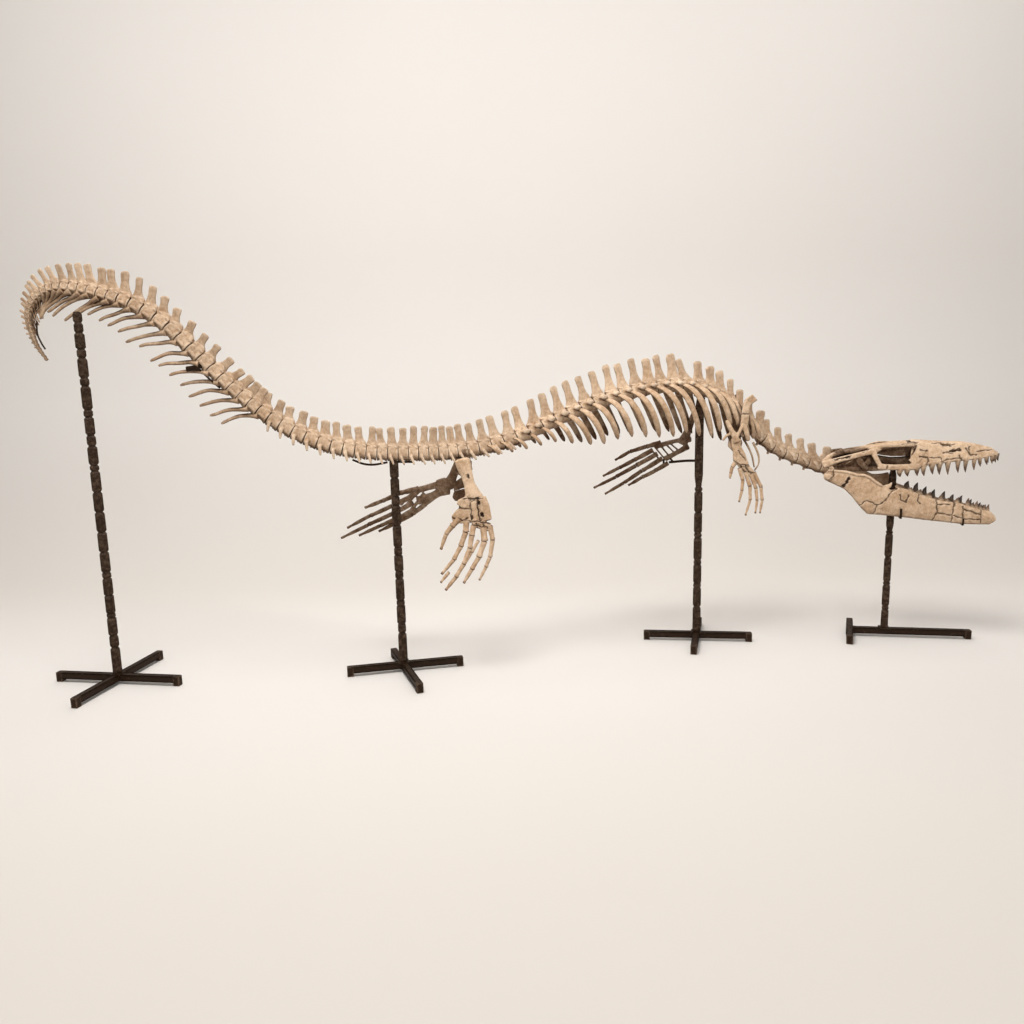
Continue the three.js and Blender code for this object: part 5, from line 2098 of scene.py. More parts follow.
@dataclass
class Head:
    """Skull and both halves of the lower jaw, in a frame of their own with x toward the snout."""

    shop: Workshop
    place: Vector = field(default_factory=lambda: Vector((1.671, 0.201, 0.800)))
    yaw: float = math.radians(-18)
    side_bars: tuple[Bar3, ...] = (
        Bar3(((92, 64, 24), (50, 72, 20), (0, 80, 19), (-40, 87, 20), (-70, 92, 24)),
             ((17, 9), (15, 10), (13, 10), (13, 10), (15, 10))),
        Bar3(((-62, 92, 22), (-76, 92, 46), (-88, 89, 68), (-98, 84, 92)),
             ((11, 8), (10, 8), (11, 8), (15, 8))),
        Bar3(((-60, 66, 112), (-92, 84, 93), (-140, 93, 80), (-200, 100, 64), (-260, 103, 46),
              (-306, 105, 30)),
             ((11, 7), (13, 8), (11, 8), (12, 8), (13, 9), (19, 12))),
        Bar3(((-222, 26, 83), (-250, 54, 75), (-276, 82, 62), (-298, 102, 42)),
             ((11, 10), (13, 10), (15, 11), (18, 12))),
        Bar3(((-292, 100, 36), (-278, 99, 22), (-266, 98, 8)), ((15, 12), (12, 11), (13, 12))),
        Bar3(((-112, 74, 96), (-72, 74, 112), (-20, 70, 116), (30, 64, 118), (70, 58, 120)),
             ((10, 8), (9, 9), (8, 9), (9, 9), (10, 9))),
        Bar3(((106, 49, 108), (96, 56, 86), (84, 63, 60), (68, 68, 38)),
             ((24, 7), (22, 7), (20, 8), (20, 9))),
        Bar3(((-236, 66, 18), (-214, 72, 32), (-190, 80, 50)), ((8, 6), (7, 5), (8, 6))),
        Bar3(((-152, 46, 50), (-136, 50, 24), (-116, 54, 8)), ((15, 8), (13, 7), (11, 7))),
        Bar3(((-128, 46, 12), (-118, 48, 30), (-104, 50, 52)), ((10, 7), (11, 7), (12, 8))),
        Bar3(((-250, 16, 6), (-190, 24, 2), (-120, 40, 6), (-60, 52, 12), (0, 48, 16)),
             ((12, 9), (11, 9), (12, 10), (12, 12), (10, 14))),
    )
    skull_cracks: tuple[Line, ...] = (
        ((79, 102), (66, 78), (57, 57)), ((98, 66), (131, 65)), ((20, 122), (60, 128), (92, 128)),
        ((131, 65), (134, 46), (128, 26)),
        ((134, 62), (186, 62), (190, 40), (200, 36)), ((186, 42), (208, 52), (230, 56), (252, 58), (271, 60)),
        ((300, 110), (301, 95)), ((288, 100), (304, 74), (330, 72)), ((330, 88), (356, 92), (392, 96)),
        ((148, 124), (181, 126), (206, 118), (239, 119)), ((196, 84), (232, 82)), ((100, 96), (128, 92)),
        ((-141, 88), (-121, 96)), ((-196, 60), (-190, 74)), ((-40, 12), (-34, 30)), ((262, 72), (268, 50)),
    )
    skull_slits: tuple[Line, ...] = (
        ((224, 90), (246, 93), (262, 95)), ((186, 123), (206, 117), (222, 117)),
        ((-258, 56), (-226, 62), (-195, 68)),
    )
    jaw_cracks: tuple[Line, ...] = (
        ((-147, -158), (-128, -140), (-110, -133), (-92, -140), (-80, -151), (-56, -146), (-38, -133),
         (-28, -118), (-23, -105), (-7, -87), (9, -74)),
        ((-86, -204), (-82, -190), (-71, -154)), ((180, -129), (184, -188), (165, -226)),
        ((255, -138), (250, -180), (245, -236)), ((364, -173), (368, -233)),
        ((188, -188), (259, -202), (297, -215), (367, -219)), ((24, -106), (28, -128), (51, -138)),
        ((51, -138), (60, -110)), ((104, -104), (100, -136), (110, -146)), ((184, -150), (236, -148)),
        ((290, -160), (292, -214)), ((292, -170), (366, -196)), ((-262, 6), (-262, -24), (-280, -40)),
    )
    jaw_slits: tuple[Line, ...] = (((-222, -74), (-208, -54), (-195, -33)),)
    upper_tips: Line = (
        (23, -27), (54, -22), (95, -21), (121, -21), (157, -14), (188, -17), (222, -15), (262, -10),
        (294, -5), (327, 1), (349, 21), (375, 27), (398, 32), (413, 38),
    )
    lower_tips: Line = (
        (21, -57), (73, -73), (113, -80), (153, -93), (204, -103), (232, -120), (270, -118), (314, -121),
        (334, -139), (350, -133), (368, -149), (384, -150), (398, -149),
    )
    far_lower_tips: Line = (
        (79, -60), (116, -68), (152, -83), (187, -94), (228, -101), (263, -115), (296, -119), (336, -134),
        (371, -146), (386, -156),
    )
    inner_plates: tuple[Line, ...] = (
        ((-250, 4), (-100, 0), (40, 10), (104, 26), (104, 60), (64, 62), (30, 57), (-14, 55), (-60, 63),
         (-100, 64), (-170, 46), (-240, 30)),
        ((-130, 82), (-84, 74), (-40, 66), (0, 63), (30, 64), (70, 68), (100, 84), (100, 118), (0, 116),
         (-130, 100)),
    )

    def _to_scene(self) -> Matrix:
        """Transform from the head's own frame, in metres, to the scene."""
        return Matrix.Translation(self.place) @ Matrix.Rotation(self.yaw, 4, "Z")

    def _ring(self, x: float, outline: Sequence[Pair]) -> list[Vector]:
        """Ring of a loft, mirrored from its right half.

        Args:
            x: Distance along the head.
            outline: (out, z) points from the top round the right side to the bottom.

        Returns:
            The ring.
        """
        right = [Vector((x, -out, z)) / 1000 for out, z in outline]
        return right + [Vector((x, out, z)) / 1000 for out, z in reversed(outline[1:-1])]

    def _snout(self) -> list[list[Vector]]:
        """Rings of the solid front of the skull, with its vaulted palate.

        Returns:
            The rings, from back to front.
        """
        rows: list[list[Vector]] = []
        for x in (*range(62, 402, 9), 403, 411):
            top, low, half = SKULL_TOP.at(x), TOOTH_EDGE.at(x), SKULL_HALF.at(x)
            tall = top - low
            shares = ((0, 0.03), (0.2, 0.0), (0.42, 0.03), (0.60, 0.12), (0.74, 0.28), (0.84, 0.48),
                      (0.94, 0.72), (1.0, 0.90), (0.97, 1.0), (0.82, 1.02), (0.66, 0.94), (0.5, 0.78),
                      (0.25, 0.70), (0, 0.70))
            rows.append(self._ring(x, [(a * half, top - b * tall) for a, b in shares]))
        return rows

    def _roof(self) -> list[list[Vector]]:
        """Rings of the narrow roof behind the snout.

        Returns:
            The rings, from back to front.
        """
        rows: list[list[Vector]] = []
        for x in range(-264, 56, 10):
            top, half = SKULL_TOP.at(x), ROOF_HALF.at(x)
            crest = 3 if x < -110 else 0
            shares = ((0, crest), (0.3, 0), (0.65, -2), (0.92, -6), (1.0, -12), (0.94, -20), (0.7, -24),
                      (0.3, -26), (0, -26))
            rows.append(self._ring(x, [(a * half, top + b) for a, b in shares]))
        return rows

    def _finish(self, piece: Piece, cracks: Sequence, slits: Sequence) -> Piece:
        """Carves cracks and slits in the outer face, marks relief with painted shade in hollows, paints shade
        inside the skull and puts the piece in its place.

        Args:
            piece: The bone in the head's own frame.
            cracks: Thin cracks as (x, z) points, in millimetres.
            slits: Wide openings as (x, z) points, in millimetres.

        Returns:
            The piece.
        """
        lines = []
        for i, line in enumerate(cracks):
            lines.append(Crack(tuple((x / 1000, z / 1000) for x, z in line), 0.0036 + 0.0006 * (i % 4),
                               0.0042))
        # The wide slits are openings whose near black colour is painted shade inside them.
        lines += [Crack(tuple((x / 1000, z / 1000) for x, z in line), 0.0080, 0.011) for line in slits]
        seam = np.maximum(carve(piece.data, lines, -1.0), carve(piece.data, lines, 1.0))
        # Painted shade inside the skull: within its outer walls, below its roof and behind the snout.
        places = coordinates(piece.data) * 1000
        limit = 0.66 * np.interp(places[:, 0], *zip(*SKULL_HALF.keys))
        inside = np.clip((limit - np.abs(places[:, 1])) / 8, 0, 1) * np.clip((108 - places[:, 2]) / 10, 0, 1)
        inside *= np.clip((96 - places[:, 0]) / 14, 0, 1)
        mark_relief(piece.data, 0.8 * inside if piece.name.startswith("skull") else 0 * inside, rounds=12,
                    scale=0.0024)
        set_values(piece.data, "seam", np.clip(1.3 * seam - 0.30, 0, 0.85))
        piece.data.transform(self._to_scene())
        paint(piece, self.shop.bone)
        return piece

    def _skull(self) -> Piece:
        """Makes the skull without its teeth.

        Returns:
            The piece.
        """
        draft = Draft()
        draft.rings(self._snout()).rings(self._roof())
        for bar in self.side_bars:
            for side in (-1, 1):
                line = smooth_path([Vector((x, side * out, z)) / 1000 for x, out, z in bar.places], 4)
                spots = np.linspace(0, len(bar.halves) - 1, len(line))
                tall = np.interp(spots, range(len(bar.halves)), [h[0] for h in bar.halves]) / 1000
                deep = np.interp(spots, range(len(bar.halves)), [h[1] for h in bar.halves]) / 1000
                draft.bar(line, list(zip(deep, tall)), LEFT, 14, soft_box)
        case = [Vector((x / 1000, 0, z / 1000)) for x,
                z in ((-262, 30), (-230, 34), (-190, 38), (-150, 46), (-128, 54))]
        draft.bar(case, [(0.026, 0.034), (0.032, 0.040), (0.030, 0.038), (0.026, 0.032), (0.020, 0.026)],
                  LEFT, 16)
        draft.bar([Vector((x / 1000, 0, 0.010)) for x in (-90, -20, 60, 96)], [(0.030, 0.007)] * 4, LEFT, 14,
                  soft_box)
        for plate in self.inner_plates:
            for out in (-0.022, 0.022):
                draft.plate([Vector((x / 1000, out, z / 1000)) for x, z in plate], Vector((0, 0.008, 0)))
        for x, _ in self.upper_tips:
            for side in (-1, 1):
                low = TOOTH_EDGE.at(x - 3)
                out = side * (SKULL_HALF.at(x - 3) - 8) / 1000
                places = [Vector(((x - 3) / 1000, out, (low + d) / 1000)) for d in (14, 4, -4)]
                w = (12.5 - 0.0125 * x) / 1000
                draft.bar(places, [(w, w), (1.1 * w, w), (0.9 * w, 0.9 * w)], FORWARD, 12)
        back = self._to_scene().inverted()
        first = self.shop.spine.frame(FIRST_VERTEBRA)
        knob = [back @ (first.at + first.tailward * d) for d in (-0.050, -0.020, -0.003)]
        draft.bar(knob, [(0.020, 0.020), (0.017, 0.017), (0.020, 0.020)], LEFT, 14)
        piece = draft.make("skull_bone")
        Melt(0.0024, 3, 0.0030, 0.022).run(piece)
        return self._finish(piece, self.skull_cracks, self.skull_slits)

    def _jaw_out(self, x: float) -> float:
        """How far the middle of a jaw lies from the middle of the head."""
        return max(SKULL_HALF.at(x) + 2, 26.5) - 13

    def _jaw(self, side: Side) -> Piece:
        """Makes one half of the lower jaw without its teeth.

        Args:
            side: Side of the head.

        Returns:
            The piece.
        """
        sign = side.value
        draft = Draft()
        rows = []
        for x in (-300, -294, *range(-284, 412, 8), 417, 424, 428):
            top, low, out = JAW_TOP.at(x), JAW_BOTTOM.at(x), self._jaw_out(x)
            thick = 12.5 * (0.55 + 0.45 * steady(x, -300, -270)) * (1 - 0.45 * steady(x, 400, 428))
            middle, tall = (top + low) / 2, (top - low) / 2
            shares = ((0, 1), (0.5, 0.96), (0.86, 0.80), (0.98, 0.4), (1, 0), (0.95, -0.45), (0.78, -0.84),
                      (0.4, -0.98), (0, -1), (-0.4, -0.98), (-0.66, -0.84), (-0.7, -0.4), (-0.66, 0.1),
                      (-0.7, 0.5), (-0.7, 0.82), (-0.45, 0.96))
            rows.append([Vector((x, sign * (out + a * thick), middle + b * tall)) / 1000 for a, b in shares])
        draft.rings(rows)
        hook = [(-56, -86), (-36, -72), (-20, -64), (-12, -50)]
        places = [Vector((x, sign * self._jaw_out(x), z)) / 1000 for x, z in hook]
        draft.bar(places, [(0.017, 0.007), (0.013, 0.006), (0.009, 0.005), (0.003, 0.003)], FORWARD, 12)
        knob = [Vector((-282, sign * (self._jaw_out(-282) + d), -24)) / 1000 for d in (-13, 0, 13)]
        draft.bar(knob, [(0.018, 0.018), (0.022, 0.022), (0.019, 0.019)], FORWARD, 18)
        if side is Side.LEFT:
            crest = ((-129, 2), (-106, -21), (-79, -33), (-44, -32), (-10, -22), (0, -52), (1, -82),
                     (-42, -92), (-110, -60))
            draft.plate([Vector((x, self._jaw_out(x) - 4, z)) / 1000 for x, z in crest],
                        Vector((0, 0.010, 0)))
        rim = [(x, JAW_TOP.at(x) - 5) for x in (-284, -262, -238, -214, -186, -158, -130, -104, -80, -58)]
        places = [Vector((x, sign * (self._jaw_out(x) + 6), z)) / 1000 for x, z in rim]
        draft.bar(places, [(0.0078, 0.0078)] * len(places), UP, 12)
        for x, _ in self.lower_tips if side is Side.RIGHT else self.far_lower_tips:
            root = x - 4
            w = (11.5 - 0.0125 * x) / 1000
            places = [Vector((root, sign * self._jaw_out(root), JAW_TOP.at(root) + d)) / 1000 for d in (-14,
                                                                                                        -5,
                                                                                                        1)]
            draft.bar(places, [(w, w), (1.1 * w, w), (0.8 * w, 0.8 * w)], FORWARD, 12)
        piece = draft.make(f"lower_jaw_{side.name.lower()}_bone")
        Melt(0.0024, 3, 0.0024, 0.022).run(piece)
        # The far jaw is darkened toward brown: painted shade.
        set_values(piece.data, "tint", np.full(len(piece.data.vertices), 0.0 if side is Side.RIGHT else 0.55))
        return self._finish(piece, self.jaw_cracks, self.jaw_slits)

    def _tooth_shapes(self) -> Shapes:
        """Makes a few teeth: curved cones with a swollen root, 40 mm tall.

        Returns:
            The collection of teeth.
        """
        shapes = []
        for number in range(3):
            chance = Random(90 + number)
            draft = Draft()
            rings = []
            for z, k in ((-0.10, 0.96), (0.06, 1.0), (0.18, 0.97), (0.32, 0.88), (0.48, 0.76), (0.64, 0.60),
                         (0.78, 0.43), (0.90, 0.25),
                         (0.97, 0.12), (1.0, 0.04)):
                bend = -0.0035 * math.sin(math.pi * z)
                w = 0.0132 * k * (1 + chance.uniform(-0.03, 0.03))
                rings.append([Vector((a + bend, b, z * 0.040)) for a, b in oval(w, 0.82 * w, 14)])
            piece = draft.rings(rings).make("tooth")
            piece.data.shade_smooth()
            tall = coordinates(piece.data)[:, 2] / 0.040
            set_values(piece.data, "crown", np.clip((tall - 0.10) / 0.50, 0, 1))
            shapes.append(piece)
        return shape_collection("teeth", shapes)

    def _tooth_station(self, root: Vector, tip: Vector, width: float, kind: int, tint: float) -> Station:
        """Station for one tooth.

        Args:
            root: Middle of its root, in millimetres of the head's frame.
            tip: Its tip.
            width: Its width against the nominal tooth.
            kind: Which of the shapes.
            tint: How dark it is.

        Returns:
            The station.
        """
        rise = (tip - root).normalized()
        across = rise.cross(FORWARD).normalized()
        turn = Matrix((across.cross(rise), across, rise)).transposed()
        size = Vector((width, width, (tip - root).length / 40))
        swing = Matrix.Rotation(self.yaw, 3, "Z")
        return Station(self._to_scene() @ (root / 1000), swing @ turn, size, kind, tint)

    def _teeth(self, side: Side, shapes: Shapes, upper: bool) -> Piece:
        """Makes one row of teeth.

        Args:
            side: Side of the head.
            shapes: The teeth.
            upper: Whether they stand in the skull.

        Returns:
            The piece.
        """
        name = "upper" if upper else "lower"
        row = StationRow(f"{name}_teeth_{side.name.lower()}")
        near = side is Side.RIGHT
        tips = self.upper_tips if upper else self.lower_tips if near else self.far_lower_tips
        for number, (x, tip) in enumerate(tips):
            if upper:
                out = SKULL_HALF.at(x - 3) - 8
                root = Vector((x - 3 + (0 if near else 11), side.value * out, TOOTH_EDGE.at(x - 3) + 2))
                end = Vector((x + (0 if near else 13), side.value * (out - 1), tip + (0 if near else 6)))
            else:
                out = self._jaw_out(x - 4)
                root = Vector((x - (4 if near else 8), side.value * out, JAW_TOP.at(x - 4) - 2))
                end = Vector((x, side.value * (out + 1), tip))
            # The far rows are darkened: painted shade; the near teeth vary in tone.
            tint = 0.12 * (number % 3) if near else 0.82 if not upper else 0.6
            row.add(self._tooth_station(root, end, 1.04 - 0.46 * x / 414, number % 3, tint))
        return row.build(self.shop.stations, shapes, self.shop.enamel, turn=0.05, size=0.05, seed=21 + upper)

    def _straps(self) -> Piece:
        """Makes the dark straps round the lower jaws and the bar between them.

        Returns:
            The piece.
        """
        bundle = PathBundle("stand_4_jaw_straps")
        place = self._to_scene()
        for x, high, girth in ((32, -168, 5.0), (294, -214, 4.0)):
            out = SKULL_HALF.at(x) + 5 if x < 200 else self._jaw_out(x) + 15
            low = JAW_BOTTOM.at(x) - 3
            near = [(x, -out, high), (x, -out, (high + low) / 2), (x, -out + 1, low + 3),
                    (x, -out + 10, low - 1)]
            corners = near + [(x, 0, low - 1)] + [(x, -y, z) for x, y, z in reversed(near)]
            line = smooth_path([place @ (Vector(c) / 1000) for c in corners], 5)
            forward = Matrix.Rotation(self.yaw, 3, "Z") @ FORWARD
            bundle.add(BonePath(line, [girth / 1000] * len(line), forward))
        return bundle.build(self.shop.sweeps, self.shop.steel, sides=10, flatness=0.55, lumps=0.0003)

    def build(self) -> None:
        """Makes the skull, the jaws, the teeth and the straps."""
        shapes = self._tooth_shapes()
        claim(self._skull(), "bone", "skull")
        for side in Side:
            label = side.name.lower()
            claim(self._jaw(side), "bone", f"lower_jaw_{label}")
            claim(self._teeth(side, shapes, True), "bone", "skull")
            claim(self._teeth(side, shapes, False), "bone", f"lower_jaw_{label}")
        claim(self._straps(), "steel", "stand_4_jaw_bar")


@dataclass(frozen=True)
class FloorBar:
    """Bar of a stand's base: its turn from +X in degrees, and its two ends along that line."""

    turn: float
    ends: Pair
    along: float | None = None


@dataclass(frozen=True)
class StandPlan:
    """Sizes of one stand."""

    number: int
    post: Pair
    top: float
    bars: tuple[FloorBar, ...]
    necks: tuple[float, ...]
    saddle: Pair | None = None
    girth: float = 1.0


STANDS = (
    StandPlan(
        1, (-1.804, -0.162), 1.563, (FloorBar(-9, (-0.288, 0.290)), FloorBar(78.5, (-0.272, 0.298))),
        (1.521, 1.481, 1.418, 1.383, 1.303, 1.271, 1.174, 1.146, 1.072, 1.027, 0.949, 0.924, 0.836, 0.752,
         0.667, 0.581, 0.494, 0.468, 0.394, 0.315, 0.297, 0.217, 0.163),
    ),
    StandPlan(
        2, (-0.577, -0.101), 0.934, (FloorBar(11.5, (-0.244, 0.262)), FloorBar(111, (-0.278, 0.196))),
        (0.856, 0.779, 0.740, 0.654, 0.558, 0.523, 0.452, 0.421, 0.323, 0.301, 0.219, 0.178), (2.095, 2.165),
    ),
    StandPlan(
        3, (0.780, 0.211), 1.160, (FloorBar(-8, (-0.247, 0.256)), FloorBar(74, (-0.208, 0.235))),
        (0.739, 0.720, 0.621, 0.522, 0.503, 0.392, 0.373, 0.281, 0.262, 0.168), (0.716, 0.766),
    ),
    StandPlan(
        4, (1.671, 0.201), 0.8007, (FloorBar(-10, (-0.168, 0.382)), FloorBar(68, (-0.142, 0.146), -0.168)),
        (0.511, 0.501, 0.387, 0.266, 0.256, 0.149, 0.134), girth=0.86,
    ),
)


# Rods and clamps: name, solid, looks, and each wire's facing, half width and places.
ARMATURE = (
    ("stand_2_armature_steel", "stand_2_post", {"flatness": 1.0, "lumps": 0.0004}, (
        (UP, 0.0045, ((-0.600, -0.125, 0.926), (-0.655, -0.128, 0.918), (-0.70, -0.126, 0.922),
                      (-0.745, -0.124, 0.940))),
    )),
    ("stand_3_rod_steel", "stand_3_rod", {"flatness": 1.0, "lumps": 0.0004}, (
        (UP, 0.0060, ((0.780, 0.224, 0.855), (0.780, 0.262, 0.855), (0.740, 0.320, 0.849),
                      (0.675, 0.372, 0.838))),
        (UP, 0.0050, ((0.690, 0.360, 0.842), (0.672, 0.378, 0.862), (0.652, 0.384, 0.850),
                      (0.650, 0.380, 0.828))),
    )),
    ("tail_clamp_steel", "tail_rear", {"flatness": 0.8, "lumps": 0.0004}, (
        (UP, 0.0110, ((-1.380, -0.178, 1.328), (-1.346, -0.180, 1.333), (-1.312, -0.176, 1.344))),
        (UP, 0.0042, ((-1.330, -0.176, 1.326), (-1.290, -0.184, 1.287), (-1.252, -0.180, 1.250))),
    )),
    ("tail_hook_wire_steel", "tail_hook", {"sides": 8, "flatness": 1.0, "lumps": 0.0003}, (
        (LEFT, 0.0034, (
            (-1.960, -0.176, 1.530), (-1.958, -0.186, 1.482), (-1.946, -0.188, 1.446),
            (-1.934, -0.186, 1.420),
        )),
    )),
)


@dataclass
class Stands:
    """Four steel stands: feet, floor bars, beaded posts, saddles and the small armature."""

    shop: Workshop
    tube: float = 0.0365
    bar: float = 0.027
    bar_lift: float = 0.015
    foot_width: float = 0.0285
    foot_height: float = 0.043
    segment_lengths: Triple = (0.018, 0.045, 0.090)
    flat_share: float = 0.80

    def _block(self, size: Vector, middle: Vector, turn: float, bevel: float = 0.0022) -> Piece:
        """Makes a block with soft edges, marked where it wears.

        Args:
            size: Its size along its own axes.
            middle: Its middle.
            turn: Its turn about the vertical, in degrees.
            bevel: Width of its soft edges.

        Returns:
            The block.
        """
        mesh = bpy.data.meshes.new("block")
        edit = bmesh.new()
        bmesh.ops.create_cube(edit, size=1.0)
        bmesh.ops.scale(edit, vec=size, verts=edit.verts)
        bmesh.ops.bevel(edit, geom=edit.edges[:], offset=bevel, segments=2, affect="EDGES", profile=0.5)
        wide = [f for f in edit.faces if f.calc_area() > 0.3 * min(size) ** 2]
        bmesh.ops.inset_individual(edit, faces=wide, thickness=0.14 * min(size), use_even_offset=True)
        edit.verts.index_update()
        inner = {v.index for f in wide for v in f.verts}
        place = Matrix.Translation(middle) @ Matrix.Rotation(math.radians(turn), 4, "Z")
        bmesh.ops.transform(edit, matrix=place, verts=edit.verts)
        edit.to_mesh(mesh)
        edit.free()
        set_values(mesh, "edge", [0.0 if v.index in inner else 1.0 for v in mesh.vertices])
        return new_object("block", mesh)

    def _segment(self, length: float, seed: int) -> Piece:
        """Makes a post segment: square tube with its ends drawn in.

        Args:
            length: Its length.
            seed: Seed of its small differences.

        Returns:
            The segment, with z up.
        """
        chance = Random(seed)
        half = self.tube / 2
        draw = min(0.012, 0.34 * length)
        steps = ((0.0, 0.70), (0.3, 0.76), (0.7, 0.94), (1.0, 1.0))
        levels = [(-0.5 * length + share * draw, k) for share, k in steps]
        levels += [(0.5 * length - share * draw, k) for share, k in reversed(steps)]
        c = self.flat_share
        outline = ((1, c), (c, 1), (-c, 1), (-1, c), (-1, -c), (-c, -1), (c, -1), (1, -c))
        draft = Draft()
        rings = []
        for z, k in levels:
            w = half * k * (1 + chance.uniform(-0.02, 0.02))
            rings.append([Vector((a * w, b * w, z)) for a, b in outline])
        piece = draft.rings(rings).make("segment")
        piece.data.shade_flat()
        set_values(piece.data, "edge", np.full(len(piece.data.vertices), 0.6))
        return piece

    def _join(self, parts: Sequence[Piece], name: str) -> Piece:
        """Joins parts into one piece with the steel finish.

        Args:
            parts: The parts.
            name: The piece's name.

        Returns:
            The piece.
        """
        edit = bmesh.new()
        layer = edit.verts.layers.float.new("edge")
        for part in parts:
            start = len(edit.verts)
            layers = part.data.attributes
            worn = [d.value for d in layers["edge"].data] if "edge" in layers else []
            edit.from_mesh(part.data)
            edit.verts.ensure_lookup_table()
            for i, value in enumerate(worn):
                edit.verts[start + i][layer] = value
        mesh = bpy.data.meshes.new(name)
        edit.to_mesh(mesh)
        edit.free()
        for part in parts:
            bpy.data.meshes.remove(part.data)
        piece = new_object(name, mesh)
        paint(piece, self.shop.steel)
        return piece

    def _base(self, plan: StandPlan) -> Piece:
        """Makes the floor bars of a stand with a foot at each end.

        Args:
            plan: The stand's sizes.

        Returns:
            The piece.
        """
        parts = []
        middle_height = self.bar_lift + self.bar / 2
        anchor = Vector((*plan.post, 0))
        run = FORWARD
        for bar in plan.bars:
            centre = anchor + run * (bar.along + self.bar / 2) if bar.along is not None else anchor
            run = Matrix.Rotation(math.radians(bar.turn), 3, "Z") @ FORWARD
            near, far = bar.ends
            middle = centre + run * ((near + far) / 2) + UP * middle_height
            parts.append(self._block(Vector((far - near, self.bar, self.bar)), middle, bar.turn))
            for end in (near + self.bar / 2, far - self.bar / 2):
                place = centre + run * end + UP * (self.foot_height / 2)
                foot = Vector((self.foot_width, self.foot_width, self.foot_height))
                parts.append(self._block(foot, place, bar.turn, 0.003))
        plate = anchor + UP * (self.bar_lift + self.bar + 0.002)
        parts.append(self._block(Vector((0.046, 0.046, 0.006)), plate, plan.bars[0].turn, 0.0012))
        return self._join(parts, f"stand_{plan.number}_base_steel")

    def _post(self, plan: StandPlan, shapes: Shapes) -> Piece:
        """Makes a post as a row of segments between its necks.

        Args:
            plan: The stand's sizes.
            shapes: The segments.

        Returns:
            The piece.
        """
        levels = [self.bar_lift + self.bar, *sorted(plan.necks), plan.top]
        row = StationRow(f"stand_{plan.number}_post_steel")
        toward = -math.atan2(plan.post[0] + 0.085, plan.post[1] + 3.515)
        for number, (low, high) in enumerate(pairwise(levels)):
            length = high - low + 0.0015
            kind = min(range(3), key=lambda i: abs(math.log(self.segment_lengths[i] / length)))
            girth = plan.girth * (0.95 if length < 0.05 else 1.0)
            size = Vector((girth, girth, length / self.segment_lengths[kind]))
            turn = Matrix.Rotation(toward + 0.03 * math.sin(2.3 * number), 3, "Z")
            row.add(Station(Vector((*plan.post, (low + high) / 2)), turn, size, kind))
        piece = row.build(self.shop.stations, shapes, self.shop.steel, size=0.012, seed=plan.number)
        piece.data.shade_flat()
        return piece

    def _saddle(self, plan: StandPlan) -> Piece:
        """Makes the strap that lies under the vertebrae on a post.

        Args:
            plan: The stand's sizes.

        Returns:
            The piece.
        """
        places = []
        for distance in np.linspace(*plan.saddle, 9):
            at = self.shop.spine.frame(distance)
            drop = 0.82 * CENTRUM_RADIUS.at(distance) + 0.0016 + 0.004
            places.append(at.at - at.up * drop)
        draft = Draft().bar(places, [(0.013, 0.004)] * len(places), LEFT, 12, soft_box)
        piece = draft.make(f"stand_{plan.number}_saddle_steel")
        paint(piece, self.shop.steel)
        return piece

    def build(self) -> None:
        """Makes the four stands."""
        segments = [self._segment(length, 3 + i) for i, length in enumerate(self.segment_lengths)]
        shapes = shape_collection("post_segments", segments)
        for plan in STANDS:
            claim(self._base(plan), "steel", f"stand_{plan.number}_base")
            claim(self._post(plan, shapes), "steel", f"stand_{plan.number}_post")
            if plan.saddle:
                claim(self._saddle(plan), "steel", f"stand_{plan.number}_post")
        for name, node, looks, wires in ARMATURE:
            rods = PathBundle(name)
            for facing, girth, places in wires:
                rods.wire(places, girth, facing)
            claim(rods.build(self.shop.sweeps, self.shop.steel, **looks), "steel", node)


@dataclass
class CrowdShade:
    """Painted shade where bones crowd together, darker where more surface lies close by, kept as an attribute
    of each bone.
    """

    cell: float = 0.006
    half_window: int = 2
    margin: float = 0.08
    sparse_share: float = 0.025
    full: float = 0.110
    strength: float = 0.96

    def _crowding(self, places: np.ndarray, low: np.ndarray) -> np.ndarray:
        """Share of filled cells in the window about each cell of a grid.

        Args:
            places: Places on all surfaces.
            low: Corner of the grid.

        Returns:
            The grid.
        """
        count = np.ceil((places.max(0) + self.margin - low) / self.cell).astype(int)
        grid = np.zeros(count, np.float32)
        grid[tuple(((places - low) / self.cell).astype(int).T)] = 1
        width = 2 * self.half_window + 1
        for axis in (0, 1, 2, 0, 1, 2):
            total = np.cumsum(grid, axis=axis)
            grid = (np.roll(total, -self.half_window, axis) - np.roll(total, self.half_window + 1,
                                                                      axis)) / width
        return grid

    def shade_crowded(self, pieces: Sequence[Piece], bone: Material) -> None:
        """Stores the painted shade of crowding on every piece of bone.

        Args:
            pieces: All pieces.
            bone: The finish that shows that painted shade.
        """
        places = np.concatenate([coordinates(piece.data) for piece in pieces])
        low = places.min(0) - self.margin
        grid = self._crowding(places, low)
        for piece in [p for p in pieces if p.data.materials[0] is bone]:
            ahead = coordinates(piece.data) + normals(piece.data) * (self.cell * (2 * self.half_window + 0.8))
            share = grid[tuple(((ahead - low) / self.cell).astype(int).T)]
            # Painted shade: the more surface lies just in front of a vertex, the darker it is painted.
            crowd_darkening = np.clip((share - self.sparse_share) / (self.full - self.sparse_share), 0, 1)
            set_values(piece.data, "grime", self.strength * crowd_darkening)


